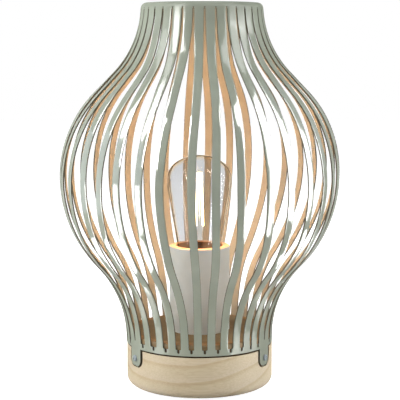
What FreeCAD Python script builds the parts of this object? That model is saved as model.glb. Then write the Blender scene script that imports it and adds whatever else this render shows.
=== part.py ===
import FreeCAD, Part
import math
import os

# A table lantern: a slatted sheet-metal shade on a turned wooden base, with a clear filament lamp
# standing in a round socket cover. Millimetres, +Z up, origin at the centre of the foot plane.
# The front faces -Y, and the cord leaves at the back, +Y.

# Overall
HEIGHT = 374.0
CUT = 2.0                       # overrun of every cutting tool
SEAT_GAP = 0.3                  # gap between round faces that seat on each other

# Feet
FOOT_HEIGHT = 1.0
FOOT_RADIUS = 7.0
FOOT_COUNT = 4

# Wooden base
BASE_RADIUS = 71.9
BASE_BOTTOM_ROUNDING = 8.0
SHOULDER_Z = 41.6
STEP_HEIGHT = 12.4
STEP_EDGE = 1.0                 # small chamfer on the step's top edge
RECESS_RADIUS = 38.0
RECESS_ROOF_Z = 21.0
COVER_PLATE_RADIUS = 55.7
COVER_PLATE_THICKNESS = 2.2
SCREW_CIRCLE_RADIUS = 47.0
COVER_SCREW_COUNT = 4

# Shade: one sheet, slit into slats and pressed out to a belly
SHEET = 1.0
SLAT_COUNT = 36
BELLY_RADIUS = 136.5
BELLY_Z = 208.0
BAND_PROUD = 0.3                # how far the foot band stands out past the wood
BAND_GAP = 1.0                  # dark joint between the band and the wood's shoulder
BAND_HEIGHT = 6.3
FLARE_FOOT = 3.9                # upright part of the sheet between the joint and the flare
FLARE_SHARE = 0.451             # hollow flare's radius as a share of its sum with the belly's lower radius
SHOULDER_LINE = 26.7            # straight part of a slat between the belly and the neck
NECK_SHARE = 0.448              # hollow neck's radius as a share of its sum with the belly's upper radius
NECK_LINE = 5.0                 # straight part of a slat below the rim
NECK_LEAN = 6.0                 # lean of the slats at the rim, degrees
RIM_RADIUS = 59.0
RIM_ROUNDING = 5.5
RIM_LIP = 3.0
SLAT_WIDTH_FOOT = 8.2
SLAT_WIDTH_BELLY = 7.2
SLAT_WIDTH_RIM = 9.05
RIM_BAND = 1.4                  # part of the rim between its rounding and the slits
NOTCH_WIDTH = 1.9
NOTCH_DEPTH = 3.5

# Tabs that hold the shade
TAB_ANGLES = (-30.0, 90.0, 210.0)
TAB_WIDTH = 18.0
TAB_BOTTOM_Z = 25.5
TAB_CORNER = 6.0
TAB_POCKET_GAP = 1.3
TAB_SLIT_END_Z = 50.5
TAB_SCREW_Z = 33.0
TAB_SCREW_HEAD_RADIUS = 3.1
TAB_SCREW_HEAD_HEIGHT = 2.2
HEAD_FLAT_SHARE = 0.35          # flat middle of the rounded head, as a share of its radius
TAB_SCREW_SHANK_RADIUS = 1.7
TAB_SCREW_LENGTH = 15.0
SCREW_HOLE_GAP = 0.4
PILOT_GAP = 0.05

# Plate screws under the base
PLATE_SCREW_HEAD_RADIUS = 3.2
PLATE_SCREW_HEAD_DEPTH = 1.6
PLATE_SCREW_SHANK_RADIUS = 1.4
PLATE_SCREW_LENGTH = 12.0

# Socket cover: a pressed cup with an inturned rim
SOCKET_COVER_RADIUS = 29.6
SOCKET_COVER_RIM_Z = 138.0
SOCKET_COVER_WALL = 1.0
SOCKET_COVER_ROUNDING = 1.5
SOCKET_COVER_OPENING = 23.0

# Threaded tube and its nuts
TUBE_RADIUS = 5.0
TUBE_BORE = 3.9
TUBE_BORE_GAP = 0.3
TUBE_OVERHANG = 2.0
TUBE_INTO_HOLDER = 7.0
NUT_FLATS = 14.0
NUT_HEIGHT = 3.0
WASHER_RADIUS = 13.0
WASHER_THICKNESS = 1.5

# Lamp holder
HOLDER_RADIUS = 19.5
HOLDER_WALL = 2.0
HOLDER_NECK_RADIUS = 8.0
HOLDER_NECK_HEIGHT = 4.0
HOLDER_SHOULDER_HEIGHT = 9.0    # top of the cap's conical part above the nut
HOLDER_CAP_HEIGHT = 24.0
HOLDER_THREAD_HEIGHT = 3.0
HOLDER_TOP_Z = 111.0
INSERT_FLANGE_HEIGHT = 3.0
INSERT_BELOW_FLANGE = 5.0
LAMP_SHELL_GAP = 0.35           # radial play between the lamp's cap and the screw shell
SCREW_SHELL_WALL = 0.45
SCREW_SHELL_HEIGHT = 22.0
SHELL_FLOOR_HOLE = 7.5
CONTACT_GAP = 0.3
CONTACT_THICKNESS = 0.5
CONTACT_WIDTH = 5.0
TERMINAL_LENGTH = 9.0
TERMINAL_WIDTH = 6.0
TERMINAL_HEIGHT = 4.0
TERMINAL_OFFSET = 8.5
TERMINAL_SCREW_RADIUS = 1.3
TERMINAL_SCREW_HEAD_RADIUS = 2.2
TERMINAL_SCREW_HEAD_HEIGHT = 1.4

# Cord inlet
INLET_Z = 15.5
INLET_RADIUS = 4.6
BUSH_FLANGE_RADIUS = 6.5
BUSH_FLANGE_THICKNESS = 1.6
BUSH_BORE_RADIUS = 3.2
BUSH_LENGTH = 18.0
BUSH_GAP = 0.15

# Filament lamp, E27 cap on a tapered globe
LAMP_TIP_Z = 85.0
LAMP_TOP_Z = 227.0
GLOBE_RADIUS = 32.0
GLOBE_WIDEST_Z = 203.0
GLOBE_SHOULDER_RADIUS = 20.0
GLOBE_WAIST_RADIUS = 60.0       # slow curve from the taper to the widest place
GLOBE_TAPER = 9.4               # degrees from upright
GLASS = 0.9
GLOBE_NECK_RADIUS = 12.2
GLOBE_NECK_HEIGHT = 4.0
GLOBE_NECK_ROUNDING = 4.0
CAP_RADIUS = 13.0
CAP_WALL = 0.4
CAP_BOTTOM_Z = 91.0
CAP_TOP_Z = 110.0
CAP_FOOT_CHAMFER = 1.5
TIP_RADIUS = 4.7
TIP_FACE_RADIUS = 3.3
TIP_HEIGHT = 1.6
INSULATOR_TOP_RADIUS = 12.2
STEM_RADIUS = 3.2
STEM_FLARE_RADIUS = 11.0
STEM_FLARE_HEIGHT = 7.0
STEM_SHOULDER_Z = 146.0         # the rod tapers from here up to its tip
STEM_TOP_Z = 166.0
STEM_TIP_RADIUS = 1.0
LEAD_FOOT_Z = 149.0
FILAMENT_COUNT = 4
FILAMENT_RADIUS = 0.9
FILAMENT_BOTTOM_Z = 157.0
FILAMENT_TOP_Z = 210.0
FILAMENT_BOTTOM_CIRCLE = 4.8
FILAMENT_TOP_CIRCLE = 2.3
WIRE_RADIUS = 0.4
WIRE_GAP = 0.02
DRIVER_WIDTH = 15.0
DRIVER_HEIGHT = 13.0
DRIVER_THICKNESS = 1.2
CAPACITOR_RADIUS = 3.2
CAPACITOR_LENGTH = 9.0

# Heights that follow
BASE_BOTTOM_Z = FOOT_HEIGHT
STEP_TOP_Z = SHOULDER_Z + STEP_HEIGHT
PLATE_TOP_Z = BASE_BOTTOM_Z + COVER_PLATE_THICKNESS
FOOT_BAND_RADIUS = BASE_RADIUS + BAND_PROUD
SHADE_INNER_FOOT = FOOT_BAND_RADIUS - SHEET
STEP_RADIUS = SHADE_INNER_FOOT - SEAT_GAP
BAND_BOTTOM_Z = SHOULDER_Z + BAND_GAP
BAND_TOP_Z = BAND_BOTTOM_Z + BAND_HEIGHT
NOTCH_BOTTOM_Z = BAND_TOP_Z - NOTCH_DEPTH
RIM_LOW_Z = HEIGHT - RIM_ROUNDING * (1.0 - math.sin(math.radians(NECK_LEAN)))
SLIT_TOP_Z = RIM_LOW_Z - RIM_BAND
CUP_FLOOR_Z = STEP_TOP_Z + SOCKET_COVER_WALL
HOLDER_BOTTOM_Z = CUP_FLOOR_Z + NUT_HEIGHT
HOLDER_JOINT_Z = HOLDER_BOTTOM_Z + HOLDER_CAP_HEIGHT
TUBE_TOP_Z = HOLDER_BOTTOM_Z + TUBE_INTO_HOLDER
WASHER_BOTTOM_Z = RECESS_ROOF_Z - WASHER_THICKNESS
NUT_BOTTOM_Z = WASHER_BOTTOM_Z - NUT_HEIGHT
TUBE_BOTTOM_Z = NUT_BOTTOM_Z - TUBE_OVERHANG

# Curves of the shade's foot that follow: the hollow flare runs straight into the belly's lower curve
FLARE_START_Z = BAND_BOTTOM_Z + FLARE_FOOT
FLARE_OUT = BELLY_RADIUS - FOOT_BAND_RADIUS
FLARE_UP = BELLY_Z - FLARE_START_Z
FLARE_LEAN = 2.0 * math.atan(FLARE_OUT / FLARE_UP)
LOWER_CURVES = (FLARE_OUT ** 2 + FLARE_UP ** 2) / (2.0 * FLARE_OUT)
FLARE_RADIUS = LOWER_CURVES * FLARE_SHARE
BELLY_LOWER_RADIUS = LOWER_CURVES - FLARE_RADIUS

# The belly's upper curve and the hollow neck, which a straight shoulder of the given length joins.
# The sum of their radii solves square * sum * sum + 2 * linear * sum = rest.
RIM_LEAN = math.radians(NECK_LEAN)
NECK_IN = BELLY_RADIUS - RIM_RADIUS - NECK_LINE * math.sin(RIM_LEAN)
NECK_UP = RIM_LOW_Z - BELLY_Z - NECK_LINE * math.cos(RIM_LEAN)
IN_SHARE = 1.0 - NECK_SHARE * (1.0 - math.cos(RIM_LEAN))
UP_SHARE = NECK_SHARE * math.sin(RIM_LEAN)
SQUARE = 1.0 - IN_SHARE ** 2 - UP_SHARE ** 2
LINEAR = IN_SHARE * NECK_IN - UP_SHARE * NECK_UP
REST = NECK_IN ** 2 + NECK_UP ** 2 - SHOULDER_LINE ** 2
UPPER_CURVES = REST / (LINEAR + math.sqrt(LINEAR ** 2 + SQUARE * REST))
NECK_CURVE_RADIUS = UPPER_CURVES * NECK_SHARE
BELLY_UPPER_RADIUS = UPPER_CURVES - NECK_CURVE_RADIUS
SHOULDER_SLOPE = (math.atan2(SHOULDER_LINE, -UPPER_CURVES)
                  - math.atan2(NECK_UP + UP_SHARE * UPPER_CURVES, NECK_IN - IN_SHARE * UPPER_CURVES))

# Directions
UP = FreeCAD.Vector(0, 0, 1)
ORIGIN = FreeCAD.Vector(0, 0, 0)


# Helpers

def save(name, shape):
    shape.exportStep("parts/" + name + ".step")
    print(name, len(shape.Solids), "solids", round(shape.Volume, 1), shape.isValid())


def point(radius, z):
    return FreeCAD.Vector(radius, 0, z)


def path_edges(points):
    """Edges through (radius, z) points. An entry (middle, end) makes an arc from the point before it."""
    edges = []
    here = points[0]
    for entry in points[1:]:
        if isinstance(entry[0], tuple):
            middle, end = entry
            edges.append(Part.Arc(point(*here), point(*middle), point(*end)).toShape())
            here = end
        else:
            edges.append(Part.LineSegment(point(*here), point(*entry)).toShape())
            here = entry
    return edges


def closed_face(points):
    return Part.Face(Part.Wire(path_edges(list(points) + [points[0]])))


def turned(points):
    """Solid of revolution about Z from a closed outline of (radius, z) points."""
    return closed_face(points).revolve(ORIGIN, UP, 360)


def round_corner(corner, radius, from_side, to_side):
    """Start point and arc entry that round a square corner; the sides are unit steps (dr, dz)."""
    start = (corner[0] + from_side[0] * radius, corner[1] + from_side[1] * radius)
    end = (corner[0] + to_side[0] * radius, corner[1] + to_side[1] * radius)
    short = radius * (1.0 - math.sqrt(0.5))
    middle = (corner[0] + (from_side[0] + to_side[0]) * short, corner[1] + (from_side[1] + to_side[1]) * short)
    return [start, (middle, end)]


def rod(radius, low, high, x=0.0, y=0.0):
    return Part.makeCylinder(radius, high - low, FreeCAD.Vector(x, y, low))


def tube(outer, inner, low, high, x=0.0, y=0.0):
    return rod(outer, low, high, x, y).cut(rod(inner, low - CUT, high + CUT, x, y))


def box(low, high):
    size = [b - a for a, b in zip(low, high)]
    return Part.makeBox(size[0], size[1], size[2], FreeCAD.Vector(*low))


def turned_to(shape, angle):
    copy = shape.copy()
    copy.rotate(ORIGIN, UP, angle)
    return copy


def around(shape, count, start=0.0):
    return [turned_to(shape, start + 360.0 * k / count) for k in range(count)]


def on_circle(shape, radius, angle):
    """Copy of a shape made on the axis, moved out along the given direction."""
    copy = shape.copy()
    copy.translate(FreeCAD.Vector(radius, 0, 0))
    return turned_to(copy, angle)


def wire_between(start, end, radius):
    way = end - start
    return Part.makeCylinder(radius, way.Length, start, way)


# Shade

def walk(start, lean, spans):
    """Follow lines and arcs from a start. Each stop is (radius, z, lean), and an arc has its middle stop too."""
    radius, z = start
    stops = [(radius, z, lean)]
    for kind, length, new_lean in spans:
        if kind == "line":
            radius += length * math.sin(lean)
            z += length * math.cos(lean)
            stops.append(("line", (radius, z, lean)))
            continue
        sign = 1.0 if new_lean > lean else -1.0
        ends = []
        for to in ((lean + new_lean) / 2.0, new_lean):
            out = radius + sign * length * (math.cos(lean) - math.cos(to))
            up = z + sign * length * (math.sin(to) - math.sin(lean))
            ends.append((out, up, to))
        stops.append(("arc", ends[0], ends[1]))
        radius, z, lean = ends[1]
    return stops


def shade_spans():
    """Lines and arcs of the sheet's outer face, from the tabs' lower end up to the rim's inner lip."""
    return [
        ("line", FLARE_START_Z - TAB_BOTTOM_Z, 0.0),
        ("arc", FLARE_RADIUS, FLARE_LEAN),
        ("arc", BELLY_LOWER_RADIUS, 0.0),
        ("arc", BELLY_UPPER_RADIUS, -SHOULDER_SLOPE),
        ("line", SHOULDER_LINE, 0.0),
        ("arc", NECK_CURVE_RADIUS, -RIM_LEAN),
        ("line", NECK_LINE, 0.0),
        ("arc", RIM_ROUNDING, -math.pi / 2.0),
        ("line", RIM_LIP, 0.0),
    ]


def shifted(stop, inset):
    radius, z, lean = stop
    return (radius - inset * math.cos(lean), z + inset * math.sin(lean))


def line_points(stops, inset):
    points = [shifted(stops[0], inset)]
    for stop in stops[1:]:
        if stop[0] == "line":
            points.append(shifted(stop[1], inset))
        else:
            points.append((shifted(stop[1], inset), shifted(stop[2], inset)))
    return points


def reversed_points(points):
    """The same path from its far end, in the same notation."""
    ends = [p[1] if isinstance(p[0], tuple) else p for p in points]
    path = [ends[-1]]
    for k in range(len(points) - 1, 0, -1):
        entry = points[k]
        path.append((entry[0], ends[k - 1]) if isinstance(entry[0], tuple) else ends[k - 1])
    return path


def shade_section(stops):
    """Closed outline of the sheet's thickness along the given stops."""
    return line_points(stops, 0.0) + reversed_points(line_points(stops, SHEET))


def slat_seam():
    """Half the width of a slat's share of the foot band, out to the seam with the next slat."""
    return FOOT_BAND_RADIUS * math.tan(math.pi / SLAT_COUNT)


def slat_strip():
    """Flat strip bent to the sheet's section, from the tabs' lower end up to the rim's lip."""
    section = closed_face(shade_section(walk((FOOT_BAND_RADIUS, TAB_BOTTOM_Z), 0.0, shade_spans())))
    reach = slat_seam() + CUT
    section.translate(FreeCAD.Vector(0, -reach, 0))
    return section.extrude(FreeCAD.Vector(0, 2.0 * reach, 0))


def slat_sector():
    """Wedge of the whole circle that belongs to one slat."""
    far = BELLY_RADIUS + CUT
    side = far * math.tan(math.pi / SLAT_COUNT)
    corners = [ORIGIN, FreeCAD.Vector(far, -side, 0), FreeCAD.Vector(far, side, 0), ORIGIN]
    return Part.Face(Part.makePolygon(corners)).extrude(FreeCAD.Vector(0, 0, HEIGHT + CUT))


def slat_side(has_tab):
    """One side of a slat's front outline, from the foot up: half a slit, with a notch or half a tab at its foot."""
    seam = slat_seam()
    wide = seam + CUT
    if has_tab:
        slit_foot = TAB_SLIT_END_Z
        side = [(seam - TAB_WIDTH / 2.0, BAND_BOTTOM_Z)]
        side += round_corner((seam - TAB_WIDTH / 2.0, TAB_BOTTOM_Z), TAB_CORNER, (0, 1), (1, 0))
        side += [(wide, TAB_BOTTOM_Z), (wide, slit_foot)]
    else:
        slit_foot = BAND_TOP_Z
        notch = seam - NOTCH_WIDTH / 2.0
        side = [(wide, BAND_BOTTOM_Z), (wide, NOTCH_BOTTOM_Z), (notch, NOTCH_BOTTOM_Z), (notch, slit_foot)]
    side += [(SLAT_WIDTH_FOOT / 2.0, slit_foot), (SLAT_WIDTH_BELLY / 2.0, BELLY_Z), (SLAT_WIDTH_RIM / 2.0, SLIT_TOP_Z)]
    return side + [(wide, SLIT_TOP_Z), (wide, HEIGHT + CUT)]


def mirrored(points):
    return [tuple((-r, z) for r, z in p) if isinstance(p[0], tuple) else (-p[0], p[1]) for p in points]


def slat(tab_before=False, tab_after=False):
    """One slat with its share of the rim and the foot band, and with half a tab on a side that has one."""
    outline = closed_face(slat_side(tab_after) + reversed_points(mirrored(slat_side(tab_before))))
    outline.rotate(ORIGIN, UP, 90)
    front = outline.extrude(FreeCAD.Vector(BELLY_RADIUS + CUT, 0, 0))
    return slat_strip().common(front).common(slat_sector())


def slat_shade():
    """The whole sheet: a ring of slats joined along their seams in the rim and the foot band."""
    pitch = 360.0 / SLAT_COUNT
    tabs = [round(angle / pitch) % SLAT_COUNT for angle in TAB_ANGLES]
    kinds = {(False, False): slat(), (True, False): slat(tab_before=True), (False, True): slat(tab_after=True)}
    slats = []
    for k in range(SLAT_COUNT):
        kind = kinds[(k in tabs, (k + 1) % SLAT_COUNT in tabs)]
        slats.append(turned_to(kind, (k + 0.5) * pitch))
    hole = Part.makeCylinder(TAB_SCREW_SHANK_RADIUS + SCREW_HOLE_GAP, BELLY_RADIUS,
                             FreeCAD.Vector(0, 0, TAB_SCREW_Z), FreeCAD.Vector(1, 0, 0))
    holes = [turned_to(hole, angle) for angle in TAB_ANGLES]
    return slats[0].multiFuse(slats[1:]).cut(holes)


def tab_ridge_radius():
    """Radius of the fold down a tab's middle, where two slats' flat shares meet."""
    return FOOT_BAND_RADIUS / math.cos(math.pi / SLAT_COUNT)


def shade_screws():
    head_z = tab_ridge_radius() + PILOT_GAP
    head_top = head_z + TAB_SCREW_HEAD_HEIGHT
    flat = TAB_SCREW_HEAD_RADIUS * HEAD_FLAT_SHARE
    shoulder = (TAB_SCREW_HEAD_RADIUS + flat) * math.sqrt(0.5)
    tip = head_z - TAB_SCREW_LENGTH
    screw = turned([(0.0, tip), (TAB_SCREW_SHANK_RADIUS, tip), (TAB_SCREW_SHANK_RADIUS, head_z),
                    (TAB_SCREW_HEAD_RADIUS, head_z),
                    ((shoulder, head_top - TAB_SCREW_HEAD_HEIGHT * HEAD_FLAT_SHARE), (flat, head_top)),
                    (0.0, head_top)])
    screw.rotate(ORIGIN, FreeCAD.Vector(0, 1, 0), 90)
    screw.translate(FreeCAD.Vector(0, 0, TAB_SCREW_Z))
    return Part.makeCompound([turned_to(screw, angle) for angle in TAB_ANGLES])


# Base

def pocket_tool():
    """Milling shape of a tab's pocket along +X: the tab's outline, wider by the gap around it."""
    half = TAB_WIDTH / 2.0 + TAB_POCKET_GAP
    corner = TAB_CORNER + TAB_POCKET_GAP
    low, high = TAB_BOTTOM_Z - TAB_POCKET_GAP, SHOULDER_Z + CUT
    outline = [(-half, high)]
    outline += round_corner((-half, low), corner, (0, 1), (1, 0))
    outline += round_corner((half, low), corner, (-1, 0), (0, 1))
    outline.append((half, high))
    face = closed_face(outline)
    face.rotate(ORIGIN, UP, 90)
    return face.extrude(FreeCAD.Vector(BASE_RADIUS + CUT, 0, 0)).cut(rod(STEP_RADIUS, low - CUT, high + CUT))


def wood_base():
    corner = round_corner((BASE_RADIUS, BASE_BOTTOM_Z), BASE_BOTTOM_ROUNDING, (-1, 0), (0, 1))
    rebate = COVER_PLATE_RADIUS + SEAT_GAP
    bore = TUBE_RADIUS + TUBE_BORE_GAP
    body = turned([(bore, RECESS_ROOF_Z), (RECESS_RADIUS, RECESS_ROOF_Z), (RECESS_RADIUS, PLATE_TOP_Z),
                   (rebate, PLATE_TOP_Z), (rebate, BASE_BOTTOM_Z)] + corner
                  + [(BASE_RADIUS, SHOULDER_Z), (STEP_RADIUS, SHOULDER_Z), (STEP_RADIUS, STEP_TOP_Z - STEP_EDGE),
                     (STEP_RADIUS - STEP_EDGE, STEP_TOP_Z), (bore, STEP_TOP_Z)])
    pilot = Part.makeCylinder(TAB_SCREW_SHANK_RADIUS + PILOT_GAP, TAB_SCREW_LENGTH + CUT,
                              FreeCAD.Vector(FOOT_BAND_RADIUS - TAB_SCREW_LENGTH, 0, TAB_SCREW_Z),
                              FreeCAD.Vector(1, 0, 0))
    pocket = pocket_tool()
    tools = [turned_to(tool, angle) for angle in TAB_ANGLES for tool in (pocket, pilot)]
    plate_pilot = rod(PLATE_SCREW_SHANK_RADIUS + PILOT_GAP, BASE_BOTTOM_Z, BASE_BOTTOM_Z + PLATE_SCREW_LENGTH)
    tools += [on_circle(plate_pilot, SCREW_CIRCLE_RADIUS, angle) for angle in screw_angles()]
    tools.append(Part.makeCylinder(INLET_RADIUS, BASE_RADIUS, FreeCAD.Vector(0, RECESS_RADIUS - CUT, INLET_Z),
                                   FreeCAD.Vector(0, 1, 0)))
    return body.cut(tools)


def screw_angles():
    return [360.0 * (k + 0.5) / COVER_SCREW_COUNT for k in range(COVER_SCREW_COUNT)]


def plate_screw(grow=0.0):
    """Countersunk screw on the axis, its flat head flush with the plate's underside."""
    head = PLATE_SCREW_HEAD_RADIUS + grow
    shank = PLATE_SCREW_SHANK_RADIUS + grow
    top = BASE_BOTTOM_Z + PLATE_SCREW_LENGTH - PILOT_GAP
    return turned([(0.0, BASE_BOTTOM_Z), (head, BASE_BOTTOM_Z), (shank, BASE_BOTTOM_Z + PLATE_SCREW_HEAD_DEPTH),
                   (shank, top), (0.0, top)])


def bottom_cover():
    plate = rod(COVER_PLATE_RADIUS, BASE_BOTTOM_Z, PLATE_TOP_Z)
    holes = [on_circle(plate_screw(PILOT_GAP), SCREW_CIRCLE_RADIUS, angle) for angle in screw_angles()]
    return plate.cut(holes)


def cover_screws():
    return Part.makeCompound([on_circle(plate_screw(), SCREW_CIRCLE_RADIUS, angle) for angle in screw_angles()])


def foot_pads():
    pad = rod(FOOT_RADIUS, 0.0, FOOT_HEIGHT, SCREW_CIRCLE_RADIUS)
    return Part.makeCompound(around(pad, FOOT_COUNT))


def cord_bush():
    shank = INLET_RADIUS - BUSH_GAP
    face = BASE_RADIUS + PILOT_GAP
    outer = face + BUSH_FLANGE_THICKNESS
    edge = BUSH_FLANGE_THICKNESS / 2.0
    bush = turned([(BUSH_BORE_RADIUS, outer - BUSH_LENGTH), (shank, outer - BUSH_LENGTH), (shank, face),
                   (BUSH_FLANGE_RADIUS, face), (BUSH_FLANGE_RADIUS, outer - edge),
                   (BUSH_FLANGE_RADIUS - edge, outer), (BUSH_BORE_RADIUS, outer)])
    bush.rotate(ORIGIN, FreeCAD.Vector(1, 0, 0), -90)
    bush.translate(FreeCAD.Vector(0, 0, INLET_Z))
    return bush


# Socket cover and its fixing

def socket_cover():
    wall = SOCKET_COVER_WALL
    outer, inner = SOCKET_COVER_RADIUS, SOCKET_COVER_RADIUS - wall
    top = SOCKET_COVER_RIM_Z
    return turned([(TUBE_RADIUS + TUBE_BORE_GAP, STEP_TOP_Z), (outer, STEP_TOP_Z)]
                  + round_corner((outer, top), SOCKET_COVER_ROUNDING, (0, -1), (-1, 0))
                  + [(SOCKET_COVER_OPENING, top), (SOCKET_COVER_OPENING, top - wall), (inner, top - wall),
                     (inner, CUP_FLOOR_Z), (TUBE_RADIUS + TUBE_BORE_GAP, CUP_FLOOR_Z)])


def hex_nut(bottom):
    corner = NUT_FLATS / math.sqrt(3.0)
    points = [FreeCAD.Vector(corner * math.cos(math.radians(60 * k)), corner * math.sin(math.radians(60 * k)), bottom)
              for k in range(7)]
    blank = Part.Face(Part.makePolygon(points)).extrude(FreeCAD.Vector(0, 0, NUT_HEIGHT))
    return blank.cut(rod(TUBE_RADIUS + PILOT_GAP, bottom - CUT, bottom + NUT_HEIGHT + CUT))


def threaded_tube():
    return tube(TUBE_RADIUS, TUBE_BORE, TUBE_BOTTOM_Z, TUBE_TOP_Z)


def base_washer():
    return tube(WASHER_RADIUS, TUBE_RADIUS + TUBE_BORE_GAP, WASHER_BOTTOM_Z, RECESS_ROOF_Z)


# Lamp holder

def holder_cap():
    """Conical lower half of the holder, screwed on the tube."""
    low, joint = HOLDER_BOTTOM_Z, HOLDER_JOINT_Z
    inner = HOLDER_RADIUS - HOLDER_WALL
    neck_top = low + HOLDER_NECK_HEIGHT
    cone_top = low + HOLDER_SHOULDER_HEIGHT
    bore = TUBE_RADIUS + PILOT_GAP
    ledge = insert_flange_z()
    return turned([(bore, low), (HOLDER_NECK_RADIUS, low), (HOLDER_NECK_RADIUS, neck_top), (HOLDER_RADIUS, cone_top),
                   (HOLDER_RADIUS, joint), (inner, joint), (inner, ledge), (inner - HOLDER_WALL, ledge),
                   (inner - HOLDER_WALL, cone_top), (HOLDER_NECK_RADIUS, neck_top + HOLDER_WALL),
                   (bore, neck_top + HOLDER_WALL)])


def insert_flange_z():
    return HOLDER_JOINT_Z - HOLDER_THREAD_HEIGHT - INSERT_FLANGE_HEIGHT


def insert_top_z():
    return LAMP_TIP_Z - CONTACT_GAP - CONTACT_THICKNESS - HOLDER_WALL


def holder_insert():
    """Ceramic disc that carries the screw shell, clamped between the holder's two halves."""
    flange = insert_flange_z()
    low = flange - INSERT_BELOW_FLANGE
    body = HOLDER_RADIUS - 2.0 * HOLDER_WALL - SEAT_GAP
    wide = HOLDER_RADIUS - HOLDER_WALL - SEAT_GAP
    return turned([(0.0, low), (body, low), (body, flange), (wide, flange), (wide, flange + INSERT_FLANGE_HEIGHT),
                   (body, flange + INSERT_FLANGE_HEIGHT), (body, insert_top_z()), (0.0, insert_top_z())])


def holder_sleeve():
    """Upper half of the holder, its thread turned into the cap."""
    inner = HOLDER_RADIUS - HOLDER_WALL
    thread_low = HOLDER_JOINT_Z - HOLDER_THREAD_HEIGHT
    bore = inner - HOLDER_WALL
    lip = HOLDER_WALL / 2.0
    return turned([(bore, thread_low), (inner - PILOT_GAP, thread_low), (inner - PILOT_GAP, HOLDER_JOINT_Z),
                   (HOLDER_RADIUS, HOLDER_JOINT_Z), (HOLDER_RADIUS, HOLDER_TOP_Z - lip),
                   (HOLDER_RADIUS - lip, HOLDER_TOP_Z), (bore, HOLDER_TOP_Z)])


def screw_shell():
    inner = CAP_RADIUS + LAMP_SHELL_GAP
    outer = inner + SCREW_SHELL_WALL
    low = insert_top_z()
    floor = low + SCREW_SHELL_WALL
    return turned([(SHELL_FLOOR_HOLE, low), (outer, low), (outer, low + SCREW_SHELL_HEIGHT),
                   (inner, low + SCREW_SHELL_HEIGHT), (inner, floor), (SHELL_FLOOR_HOLE, floor)])


def centre_contact():
    """Springy strip, riveted flat on the insert and bent up under the lamp's tip."""
    low = insert_top_z()
    thick = CONTACT_THICKNESS
    tip = LAMP_TIP_Z - CONTACT_GAP
    half = CONTACT_WIDTH / 2.0
    reach = SHELL_FLOOR_HOLE - thick
    outline = [(-reach, low), (-half, low), (half, tip - thick), (reach - half, tip - thick), (reach - half, tip),
               (half - thick, tip), (-half - thick / 2.0, low + thick), (-reach, low + thick)]
    face = closed_face(outline)
    face.translate(FreeCAD.Vector(0, -half, 0))
    return face.extrude(FreeCAD.Vector(0, CONTACT_WIDTH, 0))


def terminal_top_z():
    return insert_flange_z() - INSERT_BELOW_FLANGE


def holder_terminals():
    top = terminal_top_z()
    block = box((-TERMINAL_WIDTH / 2.0, -TERMINAL_LENGTH / 2.0, top - TERMINAL_HEIGHT),
                (TERMINAL_WIDTH / 2.0, TERMINAL_LENGTH / 2.0, top))
    return Part.makeCompound([on_circle(block, TERMINAL_OFFSET, angle) for angle in (0.0, 180.0)])


def terminal_screws():
    top = terminal_top_z() - TERMINAL_HEIGHT
    screw = rod(TERMINAL_SCREW_HEAD_RADIUS, top - TERMINAL_SCREW_HEAD_HEIGHT, top)
    return Part.makeCompound([on_circle(screw, TERMINAL_OFFSET, angle) for angle in (0.0, 180.0)])


# Lamp

def lamp_tip():
    top = LAMP_TIP_Z + TIP_HEIGHT
    return turned([(0.0, LAMP_TIP_Z), (TIP_FACE_RADIUS, LAMP_TIP_Z), (TIP_RADIUS, top), (0.0, top)])


def lamp_insulator():
    low = LAMP_TIP_Z + TIP_HEIGHT
    return turned([(0.0, low), (TIP_RADIUS + CAP_WALL, low), (INSULATOR_TOP_RADIUS, CAP_BOTTOM_Z), (0.0, CAP_BOTTOM_Z)])


def lamp_cap():
    """Thin metal cap with a chamfered foot; its thread is left plain."""
    low = CAP_BOTTOM_Z
    inner = CAP_RADIUS - CAP_WALL
    inner_chamfer = CAP_FOOT_CHAMFER - CAP_WALL
    floor = low + CAP_WALL
    return turned([(TIP_RADIUS, low), (CAP_RADIUS - CAP_FOOT_CHAMFER, low), (CAP_RADIUS, low + CAP_FOOT_CHAMFER),
                   (CAP_RADIUS, CAP_TOP_Z), (inner, CAP_TOP_Z), (inner, floor + inner_chamfer),
                   (inner - inner_chamfer, floor), (TIP_RADIUS, floor)])


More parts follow.
